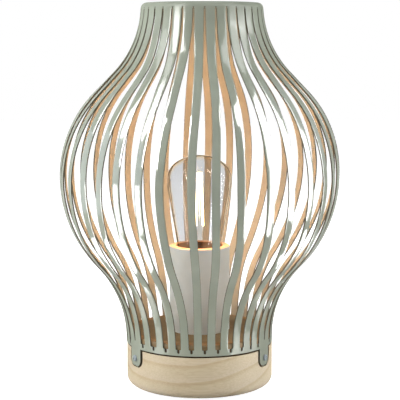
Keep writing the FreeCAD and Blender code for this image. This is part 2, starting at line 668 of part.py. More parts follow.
def globe_points(inset):
    """Half outline of the globe from its neck to its crown, moved in by the glass's thickness for the inside."""
    taper = math.radians(GLOBE_TAPER)
    shoulder = GLOBE_SHOULDER_RADIUS - inset
    rise = LAMP_TOP_Z - GLOBE_WIDEST_Z
    reach = GLOBE_RADIUS - GLOBE_SHOULDER_RADIUS
    crown = (reach ** 2 + rise ** 2 - GLOBE_SHOULDER_RADIUS ** 2) / (2.0 * (rise - GLOBE_SHOULDER_RADIUS))
    tilt = math.asin(reach / (crown - GLOBE_SHOULDER_RADIUS))
    joint = math.pi / 2.0 - tilt
    waist = GLOBE_WAIST_RADIUS - inset
    waist_centre = GLOBE_RADIUS - GLOBE_WAIST_RADIUS
    low_r = waist_centre + waist * math.cos(taper)
    low_z = GLOBE_WIDEST_Z - waist * math.sin(taper)
    neck_top = CAP_TOP_Z + GLOBE_NECK_ROUNDING
    taper_foot = low_r - (low_z - neck_top) * math.tan(taper)
    crown_r = crown - inset
    crown_z = LAMP_TOP_Z - crown
    return [
        (GLOBE_NECK_RADIUS - inset, CAP_TOP_Z - GLOBE_NECK_HEIGHT),
        (GLOBE_NECK_RADIUS - inset, CAP_TOP_Z),
        (taper_foot, neck_top),
        (low_r, low_z),
        ((waist_centre + waist * math.cos(taper / 2.0), GLOBE_WIDEST_Z - waist * math.sin(taper / 2.0)),
         (GLOBE_RADIUS - inset, GLOBE_WIDEST_Z)),
        ((reach + shoulder * math.cos(joint / 2.0), GLOBE_WIDEST_Z + shoulder * math.sin(joint / 2.0)),
         (reach + shoulder * math.cos(joint), GLOBE_WIDEST_Z + shoulder * math.sin(joint))),
        ((crown_r * math.sin(tilt / 2.0), crown_z + crown_r * math.cos(tilt / 2.0)), (0.0, LAMP_TOP_Z - inset)),
    ]


def lamp_globe():
    return turned(globe_points(0.0) + reversed_points(globe_points(GLASS)))


def lamp_stem():
    """Glass mount inside the globe: a flared foot in the neck and a rod that tapers to a tip."""
    foot = CAP_TOP_Z - GLOBE_NECK_HEIGHT
    return turned([(0.0, foot), (STEM_FLARE_RADIUS, foot), (STEM_RADIUS, foot + STEM_FLARE_HEIGHT),
                   (STEM_RADIUS, STEM_SHOULDER_Z), (STEM_TIP_RADIUS, STEM_TOP_Z), (0.0, STEM_TOP_Z)])


def filament_ends(angle):
    turn = math.radians(angle)
    low = FreeCAD.Vector(FILAMENT_BOTTOM_CIRCLE * math.cos(turn), FILAMENT_BOTTOM_CIRCLE * math.sin(turn), FILAMENT_BOTTOM_Z)
    high = FreeCAD.Vector(FILAMENT_TOP_CIRCLE * math.cos(turn), FILAMENT_TOP_CIRCLE * math.sin(turn), FILAMENT_TOP_Z)
    return low, high


def filament_angles():
    return [360.0 * (k + 0.5) / FILAMENT_COUNT for k in range(FILAMENT_COUNT)]


def lamp_filaments():
    return Part.makeCompound([wire_between(*filament_ends(angle), FILAMENT_RADIUS) for angle in filament_angles()])


def lamp_wires():
    """Centre wire with an arm to each filament's head, and a lead from the stem to each filament's foot."""
    hub = FreeCAD.Vector(0, 0, FILAMENT_TOP_Z + FILAMENT_TOP_CIRCLE)
    solids = [wire_between(FreeCAD.Vector(0, 0, STEM_TOP_Z + WIRE_GAP), hub, WIRE_RADIUS)]
    taper = (STEM_RADIUS - STEM_TIP_RADIUS) / (STEM_TOP_Z - STEM_SHOULDER_Z)
    seat = STEM_RADIUS - taper * (LEAD_FOOT_Z - STEM_SHOULDER_Z) + WIRE_RADIUS + WIRE_GAP
    for angle in filament_angles():
        low, high = filament_ends(angle)
        along = (high - low).normalize()
        solids.append(wire_between(hub, high + along * (WIRE_GAP + WIRE_RADIUS), WIRE_RADIUS))
        foot = FreeCAD.Vector(low.x, low.y, 0.0).normalize() * seat + FreeCAD.Vector(0, 0, LEAD_FOOT_Z)
        solids.append(wire_between(foot, low - along * (WIRE_GAP + WIRE_RADIUS), WIRE_RADIUS))
    return solids[0].multiFuse(solids[1:])


def lamp_driver():
    low = CAP_BOTTOM_Z + CAP_WALL + SEAT_GAP
    board = box((-DRIVER_WIDTH / 2.0, -DRIVER_THICKNESS / 2.0, low),
                (DRIVER_WIDTH / 2.0, DRIVER_THICKNESS / 2.0, low + DRIVER_HEIGHT))
    can = rod(CAPACITOR_RADIUS, low + GLASS, low + GLASS + CAPACITOR_LENGTH, 0.0,
              DRIVER_THICKNESS / 2.0 + CAPACITOR_RADIUS - GLASS / 2.0)
    return board.fuse(can)


def main():
    os.makedirs("parts", exist_ok=True)
    save("wood_base", wood_base())
    save("slat_shade", slat_shade())
    save("shade_screws", shade_screws())
    save("bottom_cover", bottom_cover())
    save("cover_screws", cover_screws())
    save("foot_pads", foot_pads())
    save("cord_bush", cord_bush())
    save("socket_cover", socket_cover())
    save("threaded_tube", threaded_tube())
    save("base_washer", base_washer())
    save("base_nut", hex_nut(NUT_BOTTOM_Z))
    save("cover_nut", hex_nut(CUP_FLOOR_Z))
    save("holder_cap", holder_cap())
    save("holder_sleeve", holder_sleeve())
    save("holder_insert", holder_insert())
    save("screw_shell", screw_shell())
    save("centre_contact", centre_contact())
    save("holder_terminals", holder_terminals())
    save("terminal_screws", terminal_screws())
    save("lamp_tip", lamp_tip())
    save("lamp_insulator", lamp_insulator())
    save("lamp_cap", lamp_cap())
    save("lamp_globe", lamp_globe())
    save("lamp_stem", lamp_stem())
    save("lamp_filaments", lamp_filaments())
    save("lamp_wires", lamp_wires())
    save("lamp_driver", lamp_driver())


main()
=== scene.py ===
import random
from math import asin, atan, atan2, cos, degrees, hypot, pi, radians, sin, sqrt, tan

import bmesh
import bpy
import numpy as np
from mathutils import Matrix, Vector


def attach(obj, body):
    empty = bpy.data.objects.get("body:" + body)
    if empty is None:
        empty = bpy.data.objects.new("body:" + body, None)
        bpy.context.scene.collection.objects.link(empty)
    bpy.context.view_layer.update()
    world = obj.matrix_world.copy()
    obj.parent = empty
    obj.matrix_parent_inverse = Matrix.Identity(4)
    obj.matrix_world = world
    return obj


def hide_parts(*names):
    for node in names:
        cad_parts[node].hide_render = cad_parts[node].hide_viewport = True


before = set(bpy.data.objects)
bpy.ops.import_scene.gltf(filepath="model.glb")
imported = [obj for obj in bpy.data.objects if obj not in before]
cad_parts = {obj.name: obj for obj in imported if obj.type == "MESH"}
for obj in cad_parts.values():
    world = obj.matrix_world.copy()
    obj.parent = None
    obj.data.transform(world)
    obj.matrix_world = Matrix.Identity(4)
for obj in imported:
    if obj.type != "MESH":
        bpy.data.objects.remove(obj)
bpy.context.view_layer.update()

# A table lantern: a shade of metal slats on a turned pine base, with a lit filament lamp in a round
# socket cover. The front faces -Y. Pieces are drawn in millimetres, and the rest is in metres.

MM = 0.001
TURN = 2.0 * pi
TINY = 1e-6

# Shade: one sheet, slit into slats and pressed out to a belly
SLATS = 36
PITCH = TURN / SLATS
SHEET = 1.3
CUT_EDGE = 0.2
HEIGHT = 374.0
BASE_RADIUS = 71.9
FOOT_RADIUS = BASE_RADIUS + 0.3
BAND_BOTTOM = 43.0
BAND_TOP = 48.9
FLARE_START = 46.5
FLARE_SHARE = 0.451  # hollow flare's radius as a share of its sum with the belly's lower radius
BELLY_Z = 208.0
BELLY_RADIUS = 136.5
SHOULDER_LINE = 26.7  # straight part of a slat between the belly and the neck
NECK_SHARE = 0.448  # hollow neck's radius as a share of its sum with the belly's upper radius
NECK_LINE = 5.0  # straight part of a slat below the rim
NECK_LEAN = radians(6.0)
RIM_RADIUS = 59.0
RIM_ROUNDING = 5.5
RIM_LOW = HEIGHT - RIM_ROUNDING * (1.0 - sin(NECK_LEAN))
RIM_LIP = 3.0
SLIT_TOP = RIM_LOW - 1.4
RELIEF = 0.85  # radius of the round relief at a slit's top
NOTCH_BOTTOM = 45.4
NOTCH_HALF = 0.95
FOOT_CORNER = 0.7
CLOSED_SEAM_HALF = 0.45  # half the strip between two slats' columns where the sheet isn't slit
ROW_STEP = 3.7
PROFILE_STEPS = 120  # rows for each line or arc of the profile

# Tabs that hold the shade, each under a seam between two slats
TAB_ANGLES = (-30.0, 90.0, 210.0)
TAB_SPACING = 120.0
TAB_SEAMS = sorted(round(radians(angle) / PITCH) % SLATS for angle in TAB_ANGLES)
TAB_BOTTOM = 25.5
TAB_HALF = 9.0
TAB_CORNER = 6.0
TAB_SLIT_END = 50.5
TAB_SLIT_HALF = 0.6
TAB_SLIT_FADE = 22.0
TAB_ROWS = (40.0, 37.0, 34.0, 31.5, 29.4, 27.8, 26.6, 25.9, 25.58, TAB_BOTTOM)
TAB_SCREW_Z = 33.0

# Sideways lean of the real shade against its base: (height, shift)
SWAY = [(0.0, 0.0), (42.0, -0.2), (60.0, -0.6), (100.0, -1.0), (150.0, -0.8), (208.0, -0.1), (240.0, 0.8),
        (280.0, 2.0), (374.0, 2.4)]

# Half the width of a slat: (height, half width)
SLAT_HALVES = [(BAND_TOP, 3.9), (62.0, 3.8), (BELLY_Z, 3.7), (300.0, 4.1), (SLIT_TOP, 4.525)]

# Slats that stand a little beside their place, at three heights
STRAY_HEIGHTS = (158.0, 205.0, 283.0)
STRAYS = {19: (-1.0, -2.0, 5.2), 20: (-0.7, 1.4, 4.8), 21: (5.6, 5.2, 0.9), 22: (1.8, 4.4, 5.3),
          23: (0.1, 0.3, -0.2), 24: (-1.6, -0.4, 1.1), 25: (-3.2, -4.0, -2.2), 26: (1.0, 1.1, 0.9),
          27: (-0.8, -0.9, -0.7), 28: (-0.8, -1.5, -2.0), 29: (4.2, 3.4, 0.1), 30: (4.4, 3.3, -1.2),
          31: (8.0, 5.9, 0.6), 32: (9.0, 8.2, 0.6), 33: (7.7, 6.9, 0.0), 34: (7.2, 7.0, 2.3)}

# Slats turned a little about their own length at the belly, in degrees
TURNED = {18: -10.0, 21: -12.0, 24: 7.0, 25: -3.0, 34: 8.0}
DEEPEST_SINK = -0.9  # how far in a slat may stand, and the turned ones do

# Slats between two tabs lean round at the foot, and all of them at the rim, in degrees
FOOT_LEAN = 3.2
FOOT_LEAN_IN = (6.0, 24.0)  # from which angle off a tab, and over which angle it grows
FOOT_LEAN_LOST = 0.88  # share of the lean that is gone above the foot
RIM_LEAN = 0.9

# Slats at the back draw in and toward the middle: how far, and from and to which angle off the back
BACK_DRAWN = -4.0
BACK_ASIDE = -3.0
BACK_IN = (8.0, 22.0)
BACK_OUT = (92.0, 12.0)
BACK_RIGHT_SHARE = 0.65

# Where a habit of the slats starts or ends along their height: (height, length of the fade)
BAND_IN = (BAND_TOP, 25.0)
STRAY_IN = (62.0, 85.0)
STRAY_OUT = (SLIT_TOP - 12.0, 60.0)
TURNED_IN = (100.0, 40.0)
TURNED_OUT = (300.0, 25.0)
FOOT_LEAN_OUT = (70.0, 150.0)
RIM_LEAN_IN = (230.0, 100.0)

# Base
BASE_BOTTOM = 1.0
BASE_ROUNDING = 8.0
BASE_TOP = 54.0
SHOULDER_Z = 41.6
SHOULDER_ROUNDING = 0.6
STEP_Z = 45.6
STEP_RADIUS = 70.9
STEP_ROUNDING = 1.0
GROOVE_RADIUS = 68.5  # groove behind the band, which makes the dark joint
RECESS_RADIUS = 38.0
RECESS_ROOF = 21.0
PLATE_SEAT = (56.0, 3.2)  # radius and height of the bottom plate's seat
TUBE_HOLE = 5.3
POCKET_HALF = 11.4
POCKET_CORNER = 8.4
POCKET_LOW = 24.2
POCKET_HIGH = 46.0
POCKET_STEP = 4.0  # edges longer than this are divided
JOINT_SHADE_RADIUS = 71.5  # painted shade darkens the wood inside this radius, between the pockets' foot and this height, and a lighter painted shade lies on the wood above it
JOINT_SHADE_TOP = 48.7  # and this height, and raw above it

# Screws of the tabs
SCREW_SEAT = 72.52
SCREW_HEAD = 3.1
SCREW_RISE = 2.0
SCREW_SHANK = 1.7
SCREW_LENGTH = 15.0
CROSS_DEPTH = 0.9
CROSS_HALF = 0.45
CROSS_REACH = 1.9

# Socket cover
COVER_RADIUS = 29.6
COVER_WALL = 1.0
COVER_TOP = 138.0
COVER_ROUNDING = 1.5
COVER_MOUTH = 23.5

# Lamp
GLOBE_TOP = 227.0
GLOBE_RADIUS = 32.0
GLOBE_WIDEST_Z = 203.0
GLOBE_SHOULDER = 20.0
GLOBE_WAIST = 60.0
GLOBE_TAPER = 9.4
GLOBE_WALL = 1.2
GLOBE_NECK = 12.2
GLOBE_FOOT_Z, GLOBE_FOOT_STEP = 114.0, 0.16
NECK_LOW, NECK_HIGH, TAPER_START = 106.0, 109.5, 115.0
STEM_LOW, STEM_WAIST_TOP, STEM_PINCH, STEM_TOP = 106.0, 113.0, 146.0, 165.4
FILAMENT_LOW = (4.8, 157.6)  # distance from the axis and height
FILAMENT_HIGH = (2.3, 209.4)
FILAMENT_RISE = 52.0
FILAMENT_TAB = 1.3
HUB_Z = 212.3
FILAMENT_RADIUS, TAB_RADIUS, WIRE_RADIUS = 0.85, 0.45, 0.3
CAP_RADIUS = 13.0
CAP_LOW, CAP_HIGH = 92.5, 108.0
THREAD_PITCH = 3.629
THREAD_DEPTH = 0.85
THREAD_FADE = 1.5


# Meshes

def smooth_step(x):
    x = min(max(x, 0.0), 1.0)
    return x * x * (3.0 - 2.0 * x)


def fade_in(z, start, length):
    """0 up to a height and 1 from a length above it, smooth between."""
    return smooth_step((z - start) / length)


def fade_out(z, end, length):
    """1 up to a length below a height and 0 from it, smooth between."""
    return smooth_step((end - z) / length)


def between(table, z):
    return float(np.interp(z, [row[0] for row in table], [row[1] for row in table]))


def circle(radius, z, count):
    return [(radius * cos(TURN * k / count), radius * sin(TURN * k / count), z) for k in range(count)]


def arc(centre, radius, start, end, count):
    """Points of an arc about (radius, z), angles in degrees from the outward direction."""
    points = []
    for k in range(count + 1):
        a = radians(start + (end - start) * k / count)
        points.append((centre[0] + radius * cos(a), centre[1] + radius * sin(a)))
    return points


def top_corner(radius, z, rounding, count):
    """Rounded upper corner whose sides would meet at (radius, z)."""
    return arc((radius - rounding, z - rounding), rounding, 0.0, 90.0, count)


def add_ring(verts, points):
    """Add points to the vertices and return their numbers."""
    verts += points
    return list(range(len(verts) - len(points), len(verts)))


def strip(low, high):
    """Quads between two closed rings of one length."""
    count = len(low)
    return [(low[k], low[(k + 1) % count], high[(k + 1) % count], high[k]) for k in range(count)]


def fan(ring, tip):
    """Triangles from a closed ring to one point."""
    return [(ring[k], ring[(k + 1) % len(ring)], tip) for k in range(len(ring))]


def new_mesh(name, verts, faces):
    """Smooth mesh from points in millimetres."""
    mesh = bpy.data.meshes.new(name)
    mesh.from_pydata([tuple(size * MM for size in vert) for vert in verts], [], faces)
    mesh.validate()
    mesh.shade_smooth()
    return mesh


def place(name, data):
    """New object in the scene around a mesh, curve, light or camera."""
    obj = bpy.data.objects.new(name, data)
    bpy.context.scene.collection.objects.link(obj)
    return obj


def adjust(thing, **settings):
    """Set several values of a modifier, curve, light or object."""
    for key, value in settings.items():
        setattr(thing, key, value)
    return thing


def add_piece(name, mesh, body, slot, *mats):
    """Put a mesh in the scene as a piece that rides on a body, with materials of MATS."""
    obj = place(name, mesh)
    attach(obj, body)
    for mat in mats:
        mesh.materials.append(MATS[mat])
    return obj


def apply_modifiers(obj):
    """Bake the modifiers into the mesh."""
    graph = bpy.context.evaluated_depsgraph_get()
    baked = bpy.data.meshes.new_from_object(obj.evaluated_get(graph), depsgraph=graph)
    old = obj.data
    obj.modifiers.clear()
    obj.data = baked
    baked.name = old.name
    bpy.data.meshes.remove(old)


def soften(obj, angle):
    """Smooth shading, with sharp edges where faces meet at more than an angle in degrees."""
    obj.data.shade_smooth()
    obj.data.set_sharp_from_angle(angle=radians(angle))


def clean(obj, gap=1e-7, from_axis=False):
    """Join vertices closer than a gap, drop loose ones and turn the faces outward, or away from the axis."""
    bm = bmesh.new()
    bm.from_mesh(obj.data)
    bmesh.ops.remove_doubles(bm, verts=bm.verts, dist=gap)
    bmesh.ops.delete(bm, geom=[vert for vert in bm.verts if not vert.link_faces], context="VERTS")
    bmesh.ops.recalc_face_normals(bm, faces=bm.faces)
    if from_axis and sum(face.normal.xy.dot(face.calc_center_median().xy) for face in bm.faces) < 0.0:
        bmesh.ops.reverse_faces(bm, faces=bm.faces)
    bm.to_mesh(obj.data)
    bm.free()


def lathe(name, outline, body, slot, *mats, count=160, sharp=35.0):
    """Turn a closed outline of (radius, z) points about the axis."""
    verts, rings, faces = [], [], []
    for radius, z in outline:
        rings.append(add_ring(verts, circle(radius, z, count) if radius > TINY else [(0.0, 0.0, z)]))
    for low, high in zip(rings, rings[1:] + rings[:1]):
        if len(low) == len(high) == count:
            faces += strip(low, high)
        elif len(low) == count:
            faces += fan(low, high[0])
        elif len(high) == count:
            faces += fan(high, low[0])
    obj = add_piece(name, new_mesh(name, verts, faces), body, slot, *mats)
    clean(obj)
    soften(obj, sharp)
    return obj


# Materials

def put(tree, kind, **settings):
    """New shader node; a setting is one of its own, or else the constant of an input."""
    node = tree.nodes.new("ShaderNode" + kind)
    for key, value in settings.items():
        if hasattr(node, key):
            setattr(node, key, value)
        else:
            node.inputs[key.replace("_", " ")].default_value = value
    return node


def link(start, end, out=0, into=0):
    start.id_data.links.new(start.outputs[out], end.inputs[into])


def material(name, kind="BsdfPrincipled", **settings):
    """New material whose output shows one shader node."""
    mat = bpy.data.materials.new(name)
    mat.use_nodes = True
    tree = mat.node_tree
    tree.nodes.clear()
    shader = put(tree, kind, **settings)
    link(shader, put(tree, "OutputMaterial"))
    return mat, tree, shader


def math_node(tree, operation, *sources):
    """Maths node; a source is a number, a node, or a node and the name of its output."""
    node = put(tree, "Math", operation=operation)
    for into, source in enumerate(sources):
        if isinstance(source, float):
            node.inputs[into].default_value = source
        else:
            start, out = source if isinstance(source, tuple) else (source, 0)
            link(start, node, out, into)
    return node


def multiply(tree, first, second):
    """Product of the colours of two nodes."""
    node = put(tree, "Mix", data_type="RGBA", blend_type="MULTIPLY", Factor=1.0)
    for source, into in ((first, 6), (second, 7)):
        link(source, node, 2 if source.type == "MIX" else 0, into)
    return node


def mix_shaders(tree, first, second, share, node=None):
    """Blend of two shaders; the share of the second is a number or a node."""
    node = node or put(tree, "MixShader")
    link(first, node, 0, 1)
    link(second, node, 0, 2)
    if isinstance(share, float):
        node.inputs[0].default_value = share
    else:
        link(share, node)
    return node


def object_coordinates(tree, scale=(1.0, 1.0, 1.0)):
    mapping = put(tree, "Mapping", Scale=scale)
    link(put(tree, "TexCoord"), mapping, "Object")
    return mapping


def split(tree, coords):
    parts = put(tree, "SeparateXYZ")
    link(coords, parts)
    return parts


def noise(tree, coords, scale, detail=3.0, roughness=0.5):
    node = put(tree, "TexNoise", Scale=scale, Detail=detail, Roughness=roughness)
    link(coords, node, 0, "Vector")
    return node


def ramp(tree, source, stops, out=0):
    node = put(tree, "ValToRGB")
    elements = node.color_ramp.elements
    while len(elements) < len(stops):
        elements.new(0.5)
    for element, (position, color) in zip(elements, stops):
        element.position = position
        element.color = color if len(color) == 4 else (*color, 1.0)
    link(source, node, out)
    return node


def bump(tree, shader, height, strength, distance, under=None):
    node = put(tree, "Bump", Strength=strength, Distance=distance)
    link(height, node, 0, "Height")
    if under:
        link(under, node, 0, "Normal")
    link(node, shader, 0, "Normal")
    return node


def grey(value):
    return (value, value, value, 1.0)


def shaded(color, share):
    return tuple(min(c * share, 1.0) for c in color)


def paint(name, color, gloss, coat=0.0, layers=None):
    """Powder coat with a faint orange peel. Its gloss may lie in layers of (height, share)."""
    mat, tree, shader = material(name, Roughness=0.55, Specular_IOR_Level=0.0, Coat_Weight=coat,
                                 Coat_Roughness=gloss, Coat_IOR=1.6)
    coords = object_coordinates(tree)
    tone = noise(tree, coords, 38.0, 4.0)
    stops = [(0.35, shaded(color, 0.94)), (0.65, shaded(color, 1.05))]
    link(ramp(tree, tone, stops), shader, 0, "Base Color")
    if layers:
        height = put(tree, "MapRange", From_Max=HEIGHT * MM)
        link(split(tree, coords), height, "Z", "Value")
        stops = [(z / HEIGHT, grey(coat * share)) for z, share in layers]
        link(ramp(tree, height, stops), shader, 0, "Coat Weight")
    waves = bump(tree, shader, noise(tree, coords, 75.0, 2.0), 0.25, 0.0009)
    peel = bump(tree, shader, noise(tree, coords, 260.0, 3.0), 0.12, 0.0003, under=waves)
    link(peel, shader, 0, "Coat Normal")
    return mat


def pine():
    """Pale pine: growth rings about a pith far below, which leans against X, with fine fibres along X."""
    mat, tree, shader = material("pine", Roughness=0.6, Specular_IOR_Level=0.04)
    coords = object_coordinates(tree)
    parts = split(tree, coords)
    up = math_node(tree, "ADD", (parts, "Z"), 0.248)
    leaning = math_node(tree, "MULTIPLY_ADD", (parts, "X"), -0.15, up)
    back = math_node(tree, "ADD", (parts, "Y"), -0.020)
    squares = [math_node(tree, "POWER", side, 2.0) for side in (leaning, back)]
    distance = math_node(tree, "SQRT", math_node(tree, "ADD", *squares))
    warp = noise(tree, object_coordinates(tree, scale=(4.0, 14.0, 14.0)), 1.0)
    wandering = math_node(tree, "MULTIPLY_ADD", warp, 0.016, distance)
    rings = math_node(tree, "FRACT", math_node(tree, "MULTIPLY", wandering, 62.0))
    early = (0.53, 0.455, 0.335)
    ring_color = ramp(tree, rings, [(0.0, early), (0.7, (0.52, 0.445, 0.31)), (0.9, (0.45, 0.365, 0.24)),
                                    (0.95, (0.48, 0.395, 0.265)), (1.0, early)])
    fibres = noise(tree, object_coordinates(tree, scale=(30.0, 900.0, 900.0)), 1.0, 3.0, 0.6)
    fibre_color = ramp(tree, fibres, [(0.3, (0.86, 0.84, 0.82)), (0.62, grey(1.0))])
    blotch = noise(tree, object_coordinates(tree, scale=(9.0, 22.0, 22.0)), 1.0, 2.0)
    blotch_color = ramp(tree, blotch, [(0.35, (0.90, 0.88, 0.84)), (0.65, (1.04, 1.03, 1.0))])
    color = ring_color
    # the last colour is painted shade in the joint, the pockets and on the top
    for other in (fibre_color, blotch_color, painted_wood_shade(tree, coords)):
        color = multiply(tree, color, other)
    link(color, shader, 2, "Base Color")
    bump(tree, shader, fibres, 0.25, 0.0003)
    return mat


def painted_wood_shade(tree, coords):
    """Painted shade: dark in the joint under the shade and in the pockets of the tabs, and lighter on the
    top.
    """
    reach = put(tree, "VectorMath", operation="LENGTH")
    link(object_coordinates(tree, scale=(1.0, 1.0, 0.0)), reach)
    parts = split(tree, coords)
    inside = math_node(tree, "LESS_THAN", (reach, "Value"), JOINT_SHADE_RADIUS * MM)
    above = math_node(tree, "GREATER_THAN", (parts, "Z"), POCKET_LOW * MM)
    below = math_node(tree, "LESS_THAN", (parts, "Z"), JOINT_SHADE_TOP * MM)
    joint_shade = math_node(tree, "MULTIPLY", math_node(tree, "MULTIPLY", inside, above), below)
    top_shade = math_node(tree, "GREATER_THAN", (parts, "Z"), JOINT_SHADE_TOP * MM)
    # painted shade: dark in the joint and pockets, lighter and browner on the top
    return multiply(tree, ramp(tree, joint_shade, [(0.0, grey(1.0)), (1.0, (0.16, 0.12, 0.09))]),
                    ramp(tree, top_shade, [(0.0, grey(1.0)), (1.0, (0.42, 0.345, 0.25))]))


def metal(name, color, roughness, scratch=(20.0, 20.0, 900.0), metallic=1.0):
    """Metal, or when it is less than half metallic a lacquer with hardly any highlight, finely scratched."""
    mat, tree, shader = material(name, Metallic=metallic)
    lines = noise(tree, object_coordinates(tree, scale=scratch), 1.0, 4.0, 0.6)
    link(ramp(tree, lines, [(0.3, shaded(color, 0.86)), (0.7, color)]), shader, 0, "Base Color")
    stops = [(0.3, grey(roughness * 0.8)), (0.7, grey(min(roughness * 1.25, 1.0)))]
    link(ramp(tree, lines, stops), shader, 0, "Roughness")
    if metallic < 0.5:
        shader.inputs["Specular IOR Level"].default_value = 0.03
    bump(tree, shader, lines, 0.15, 0.0001)
    return mat


def plain(name, color, roughness, grain=400.0, depth=0.15, coat=0.0):
    """Moulded plastic, rubber, ceramic or lacquer with a fine grain."""
    mat, tree, shader = material(name, Roughness=roughness, Coat_Weight=coat, Coat_Roughness=0.15)
    coords = object_coordinates(tree)
    broad = noise(tree, coords, 40.0, 2.0)
    link(ramp(tree, broad, [(0.3, shaded(color, 0.90)), (0.7, color)]), shader, 0, "Base Color")
    bump(tree, shader, noise(tree, coords, grain, 4.0), depth, 0.0002)
    return mat


def glass(name, color, roughness, ripple):
    """Thin glass that lets light rays straight through, with painted reflection and shade: browner toward its
    edges.
    """
    mat, tree, shader = material(name, "MixShader")
    bent = put(tree, "BsdfRefraction", Roughness=roughness, IOR=1.015)
    slant = put(tree, "LayerWeight", Blend=0.5)
    # the brown toward the edges is painted reflection of the lit slats and painted shade at the glass's
    # outline
    stops = [(0.0, color), (0.5, color), (0.72, (0.90, 0.86, 0.79)), (1.0, (0.76, 0.66, 0.50))]
    link(ramp(tree, slant, stops, "Facing"), bent, 0, "Color")
    waves = noise(tree, object_coordinates(tree, scale=(60.0, 60.0, 22.0)), 1.0, 2.0)
    bump(tree, bent, waves, ripple, 0.004)
    shine = put(tree, "BsdfGlossy", Color=grey(1.0), Roughness=0.05)
    clear = put(tree, "BsdfTransparent", Color=(0.97, 0.96, 0.96, 1.0))
    path = put(tree, "LightPath")
    lighting = math_node(tree, "MAXIMUM", (path, "Is Shadow Ray"), (path, "Is Diffuse Ray"))
    mix_shaders(tree, mix_shaders(tree, bent, shine, 0.006), clear, lighting, shader)
    return mat


def glowing(name, color, strength):
    """Phosphor of a lit filament, a little uneven along its length."""
    mat, tree, shader = material(name, Base_Color=(*color, 1.0), Roughness=0.6, Emission_Strength=strength)
    grains = noise(tree, object_coordinates(tree), 900.0, 2.0)
    link(ramp(tree, grains, [(0.3, shaded(color, 0.8)), (0.7, color)]), shader, 0, "Emission Color")
    return mat


# Shade

def shade_spans():
    """Lines and arcs of the sheet from the tabs' foot to the rim: kind, size and new lean."""
    out, up = BELLY_RADIUS - FOOT_RADIUS, BELLY_Z - FLARE_START
    lower = (out ** 2 + up ** 2) / (2.0 * out)
    inward = BELLY_RADIUS - RIM_RADIUS - NECK_LINE * sin(NECK_LEAN)
    rise = RIM_LOW - BELLY_Z - NECK_LINE * cos(NECK_LEAN)
    in_share = 1.0 - NECK_SHARE * (1.0 - cos(NECK_LEAN))
    up_share = NECK_SHARE * sin(NECK_LEAN)
    square = 1.0 - in_share ** 2 - up_share ** 2
    linear = in_share * inward - up_share * rise
    rest = inward ** 2 + rise ** 2 - SHOULDER_LINE ** 2
    upper = rest / (linear + sqrt(linear ** 2 + square * rest))
    slope = (atan2(SHOULDER_LINE, -upper)
             - atan2(rise + up_share * upper, inward - in_share * upper))
    return [("line", FLARE_START - TAB_BOTTOM, 0.0),
            ("arc", lower * FLARE_SHARE, 2.0 * atan(out / up)),
            ("arc", lower * (1.0 - FLARE_SHARE), 0.0),
            ("arc", upper * (1.0 - NECK_SHARE), -slope),
            ("line", SHOULDER_LINE, 0.0),
            ("arc", upper * NECK_SHARE, -NECK_LEAN),
            ("line", NECK_LINE, 0.0)]


def profile_table():
    """Dense table of the sheet's outer face: height, radius and lean."""
    radius, z, lean = FOOT_RADIUS, TAB_BOTTOM, 0.0
    rows = [(z, radius, lean)]
    for kind, size, new_lean in shade_spans():
        if kind == "line":
            for _ in range(PROFILE_STEPS):
                radius += size / PROFILE_STEPS * sin(lean)
                z += size / PROFILE_STEPS * cos(lean)
                rows.append((z, radius, lean))
            continue
        sign = 1.0 if new_lean > lean else -1.0
        start_r, start_z, start = radius, z, lean
        for k in range(1, PROFILE_STEPS + 1):
            lean = start + (new_lean - start) * k / PROFILE_STEPS
            radius = start_r + sign * size * (cos(start) - cos(lean))
            z = start_z + sign * size * (sin(lean) - sin(start))
            rows.append((z, radius, lean))
    return np.array(rows)


def slat_heights():
    """Heights of the rows: close together at the slits' ends, even between them."""
    rows = [BAND_BOTTOM, 44.2, NOTCH_BOTTOM]
    rows += [NOTCH_BOTTOM + share * NOTCH_HALF for share in (0.28, 0.6, 1.0)]
    rows += [47.6, BAND_TOP, BAND_TOP + 0.28, BAND_TOP + FOOT_CORNER, TAB_SLIT_END]
    rows += [TAB_SLIT_END + share * TAB_SLIT_HALF for share in (0.5, 1.0)]
    z = TAB_SLIT_END + 3.0
    while z < SLIT_TOP - 4.5:
        rows.append(z)
        z += ROW_STEP
    relief_z = SLIT_TOP - RELIEF
    rows += [relief_z - 1.6, relief_z - 0.8, relief_z - 0.4, relief_z, relief_z + 0.45, SLIT_TOP, RIM_LOW]
    return sorted(set(round(row, 4) for row in rows))


def shade_rows():
    """Rows of the sheet from the band to the rim's lip: radius, height and lean."""
    profile = profile_table()
    rows = []
    for z in slat_heights():
        radius, lean = (float(np.interp(z, profile[:, 0], profile[:, column])) for column in (1, 2))
        rows.append((radius, z, lean))
    centre_r = RIM_RADIUS - RIM_ROUNDING * cos(NECK_LEAN)
    for angle in (15, 28, 42, 56, 70, 84):
        turn = radians(angle)
        rows.append((centre_r + RIM_ROUNDING * cos(turn),
                     HEIGHT - RIM_ROUNDING * (1.0 - sin(turn)), -turn))
    for share in (0.0, 0.67, 1.0):
        rows.append((centre_r - RIM_LIP * share, HEIGHT, -pi / 2.0))
    return rows


def middle_angle(k, z):
    """Angle of a slat's middle line: the slats lean round a little between the tabs and toward the rim."""
    angle = (k + 0.5) * PITCH
    from_tab = (degrees(angle) - TAB_ANGLES[0]) % TAB_SPACING
    from_tab = min(from_tab, TAB_SPACING - from_tab)
    foot = FOOT_LEAN * fade_in(from_tab, *FOOT_LEAN_IN) * (1.0 - FOOT_LEAN_LOST * fade_in(z, *FOOT_LEAN_OUT))
    return angle + radians(foot + RIM_LEAN * fade_in(z, *RIM_LEAN_IN))


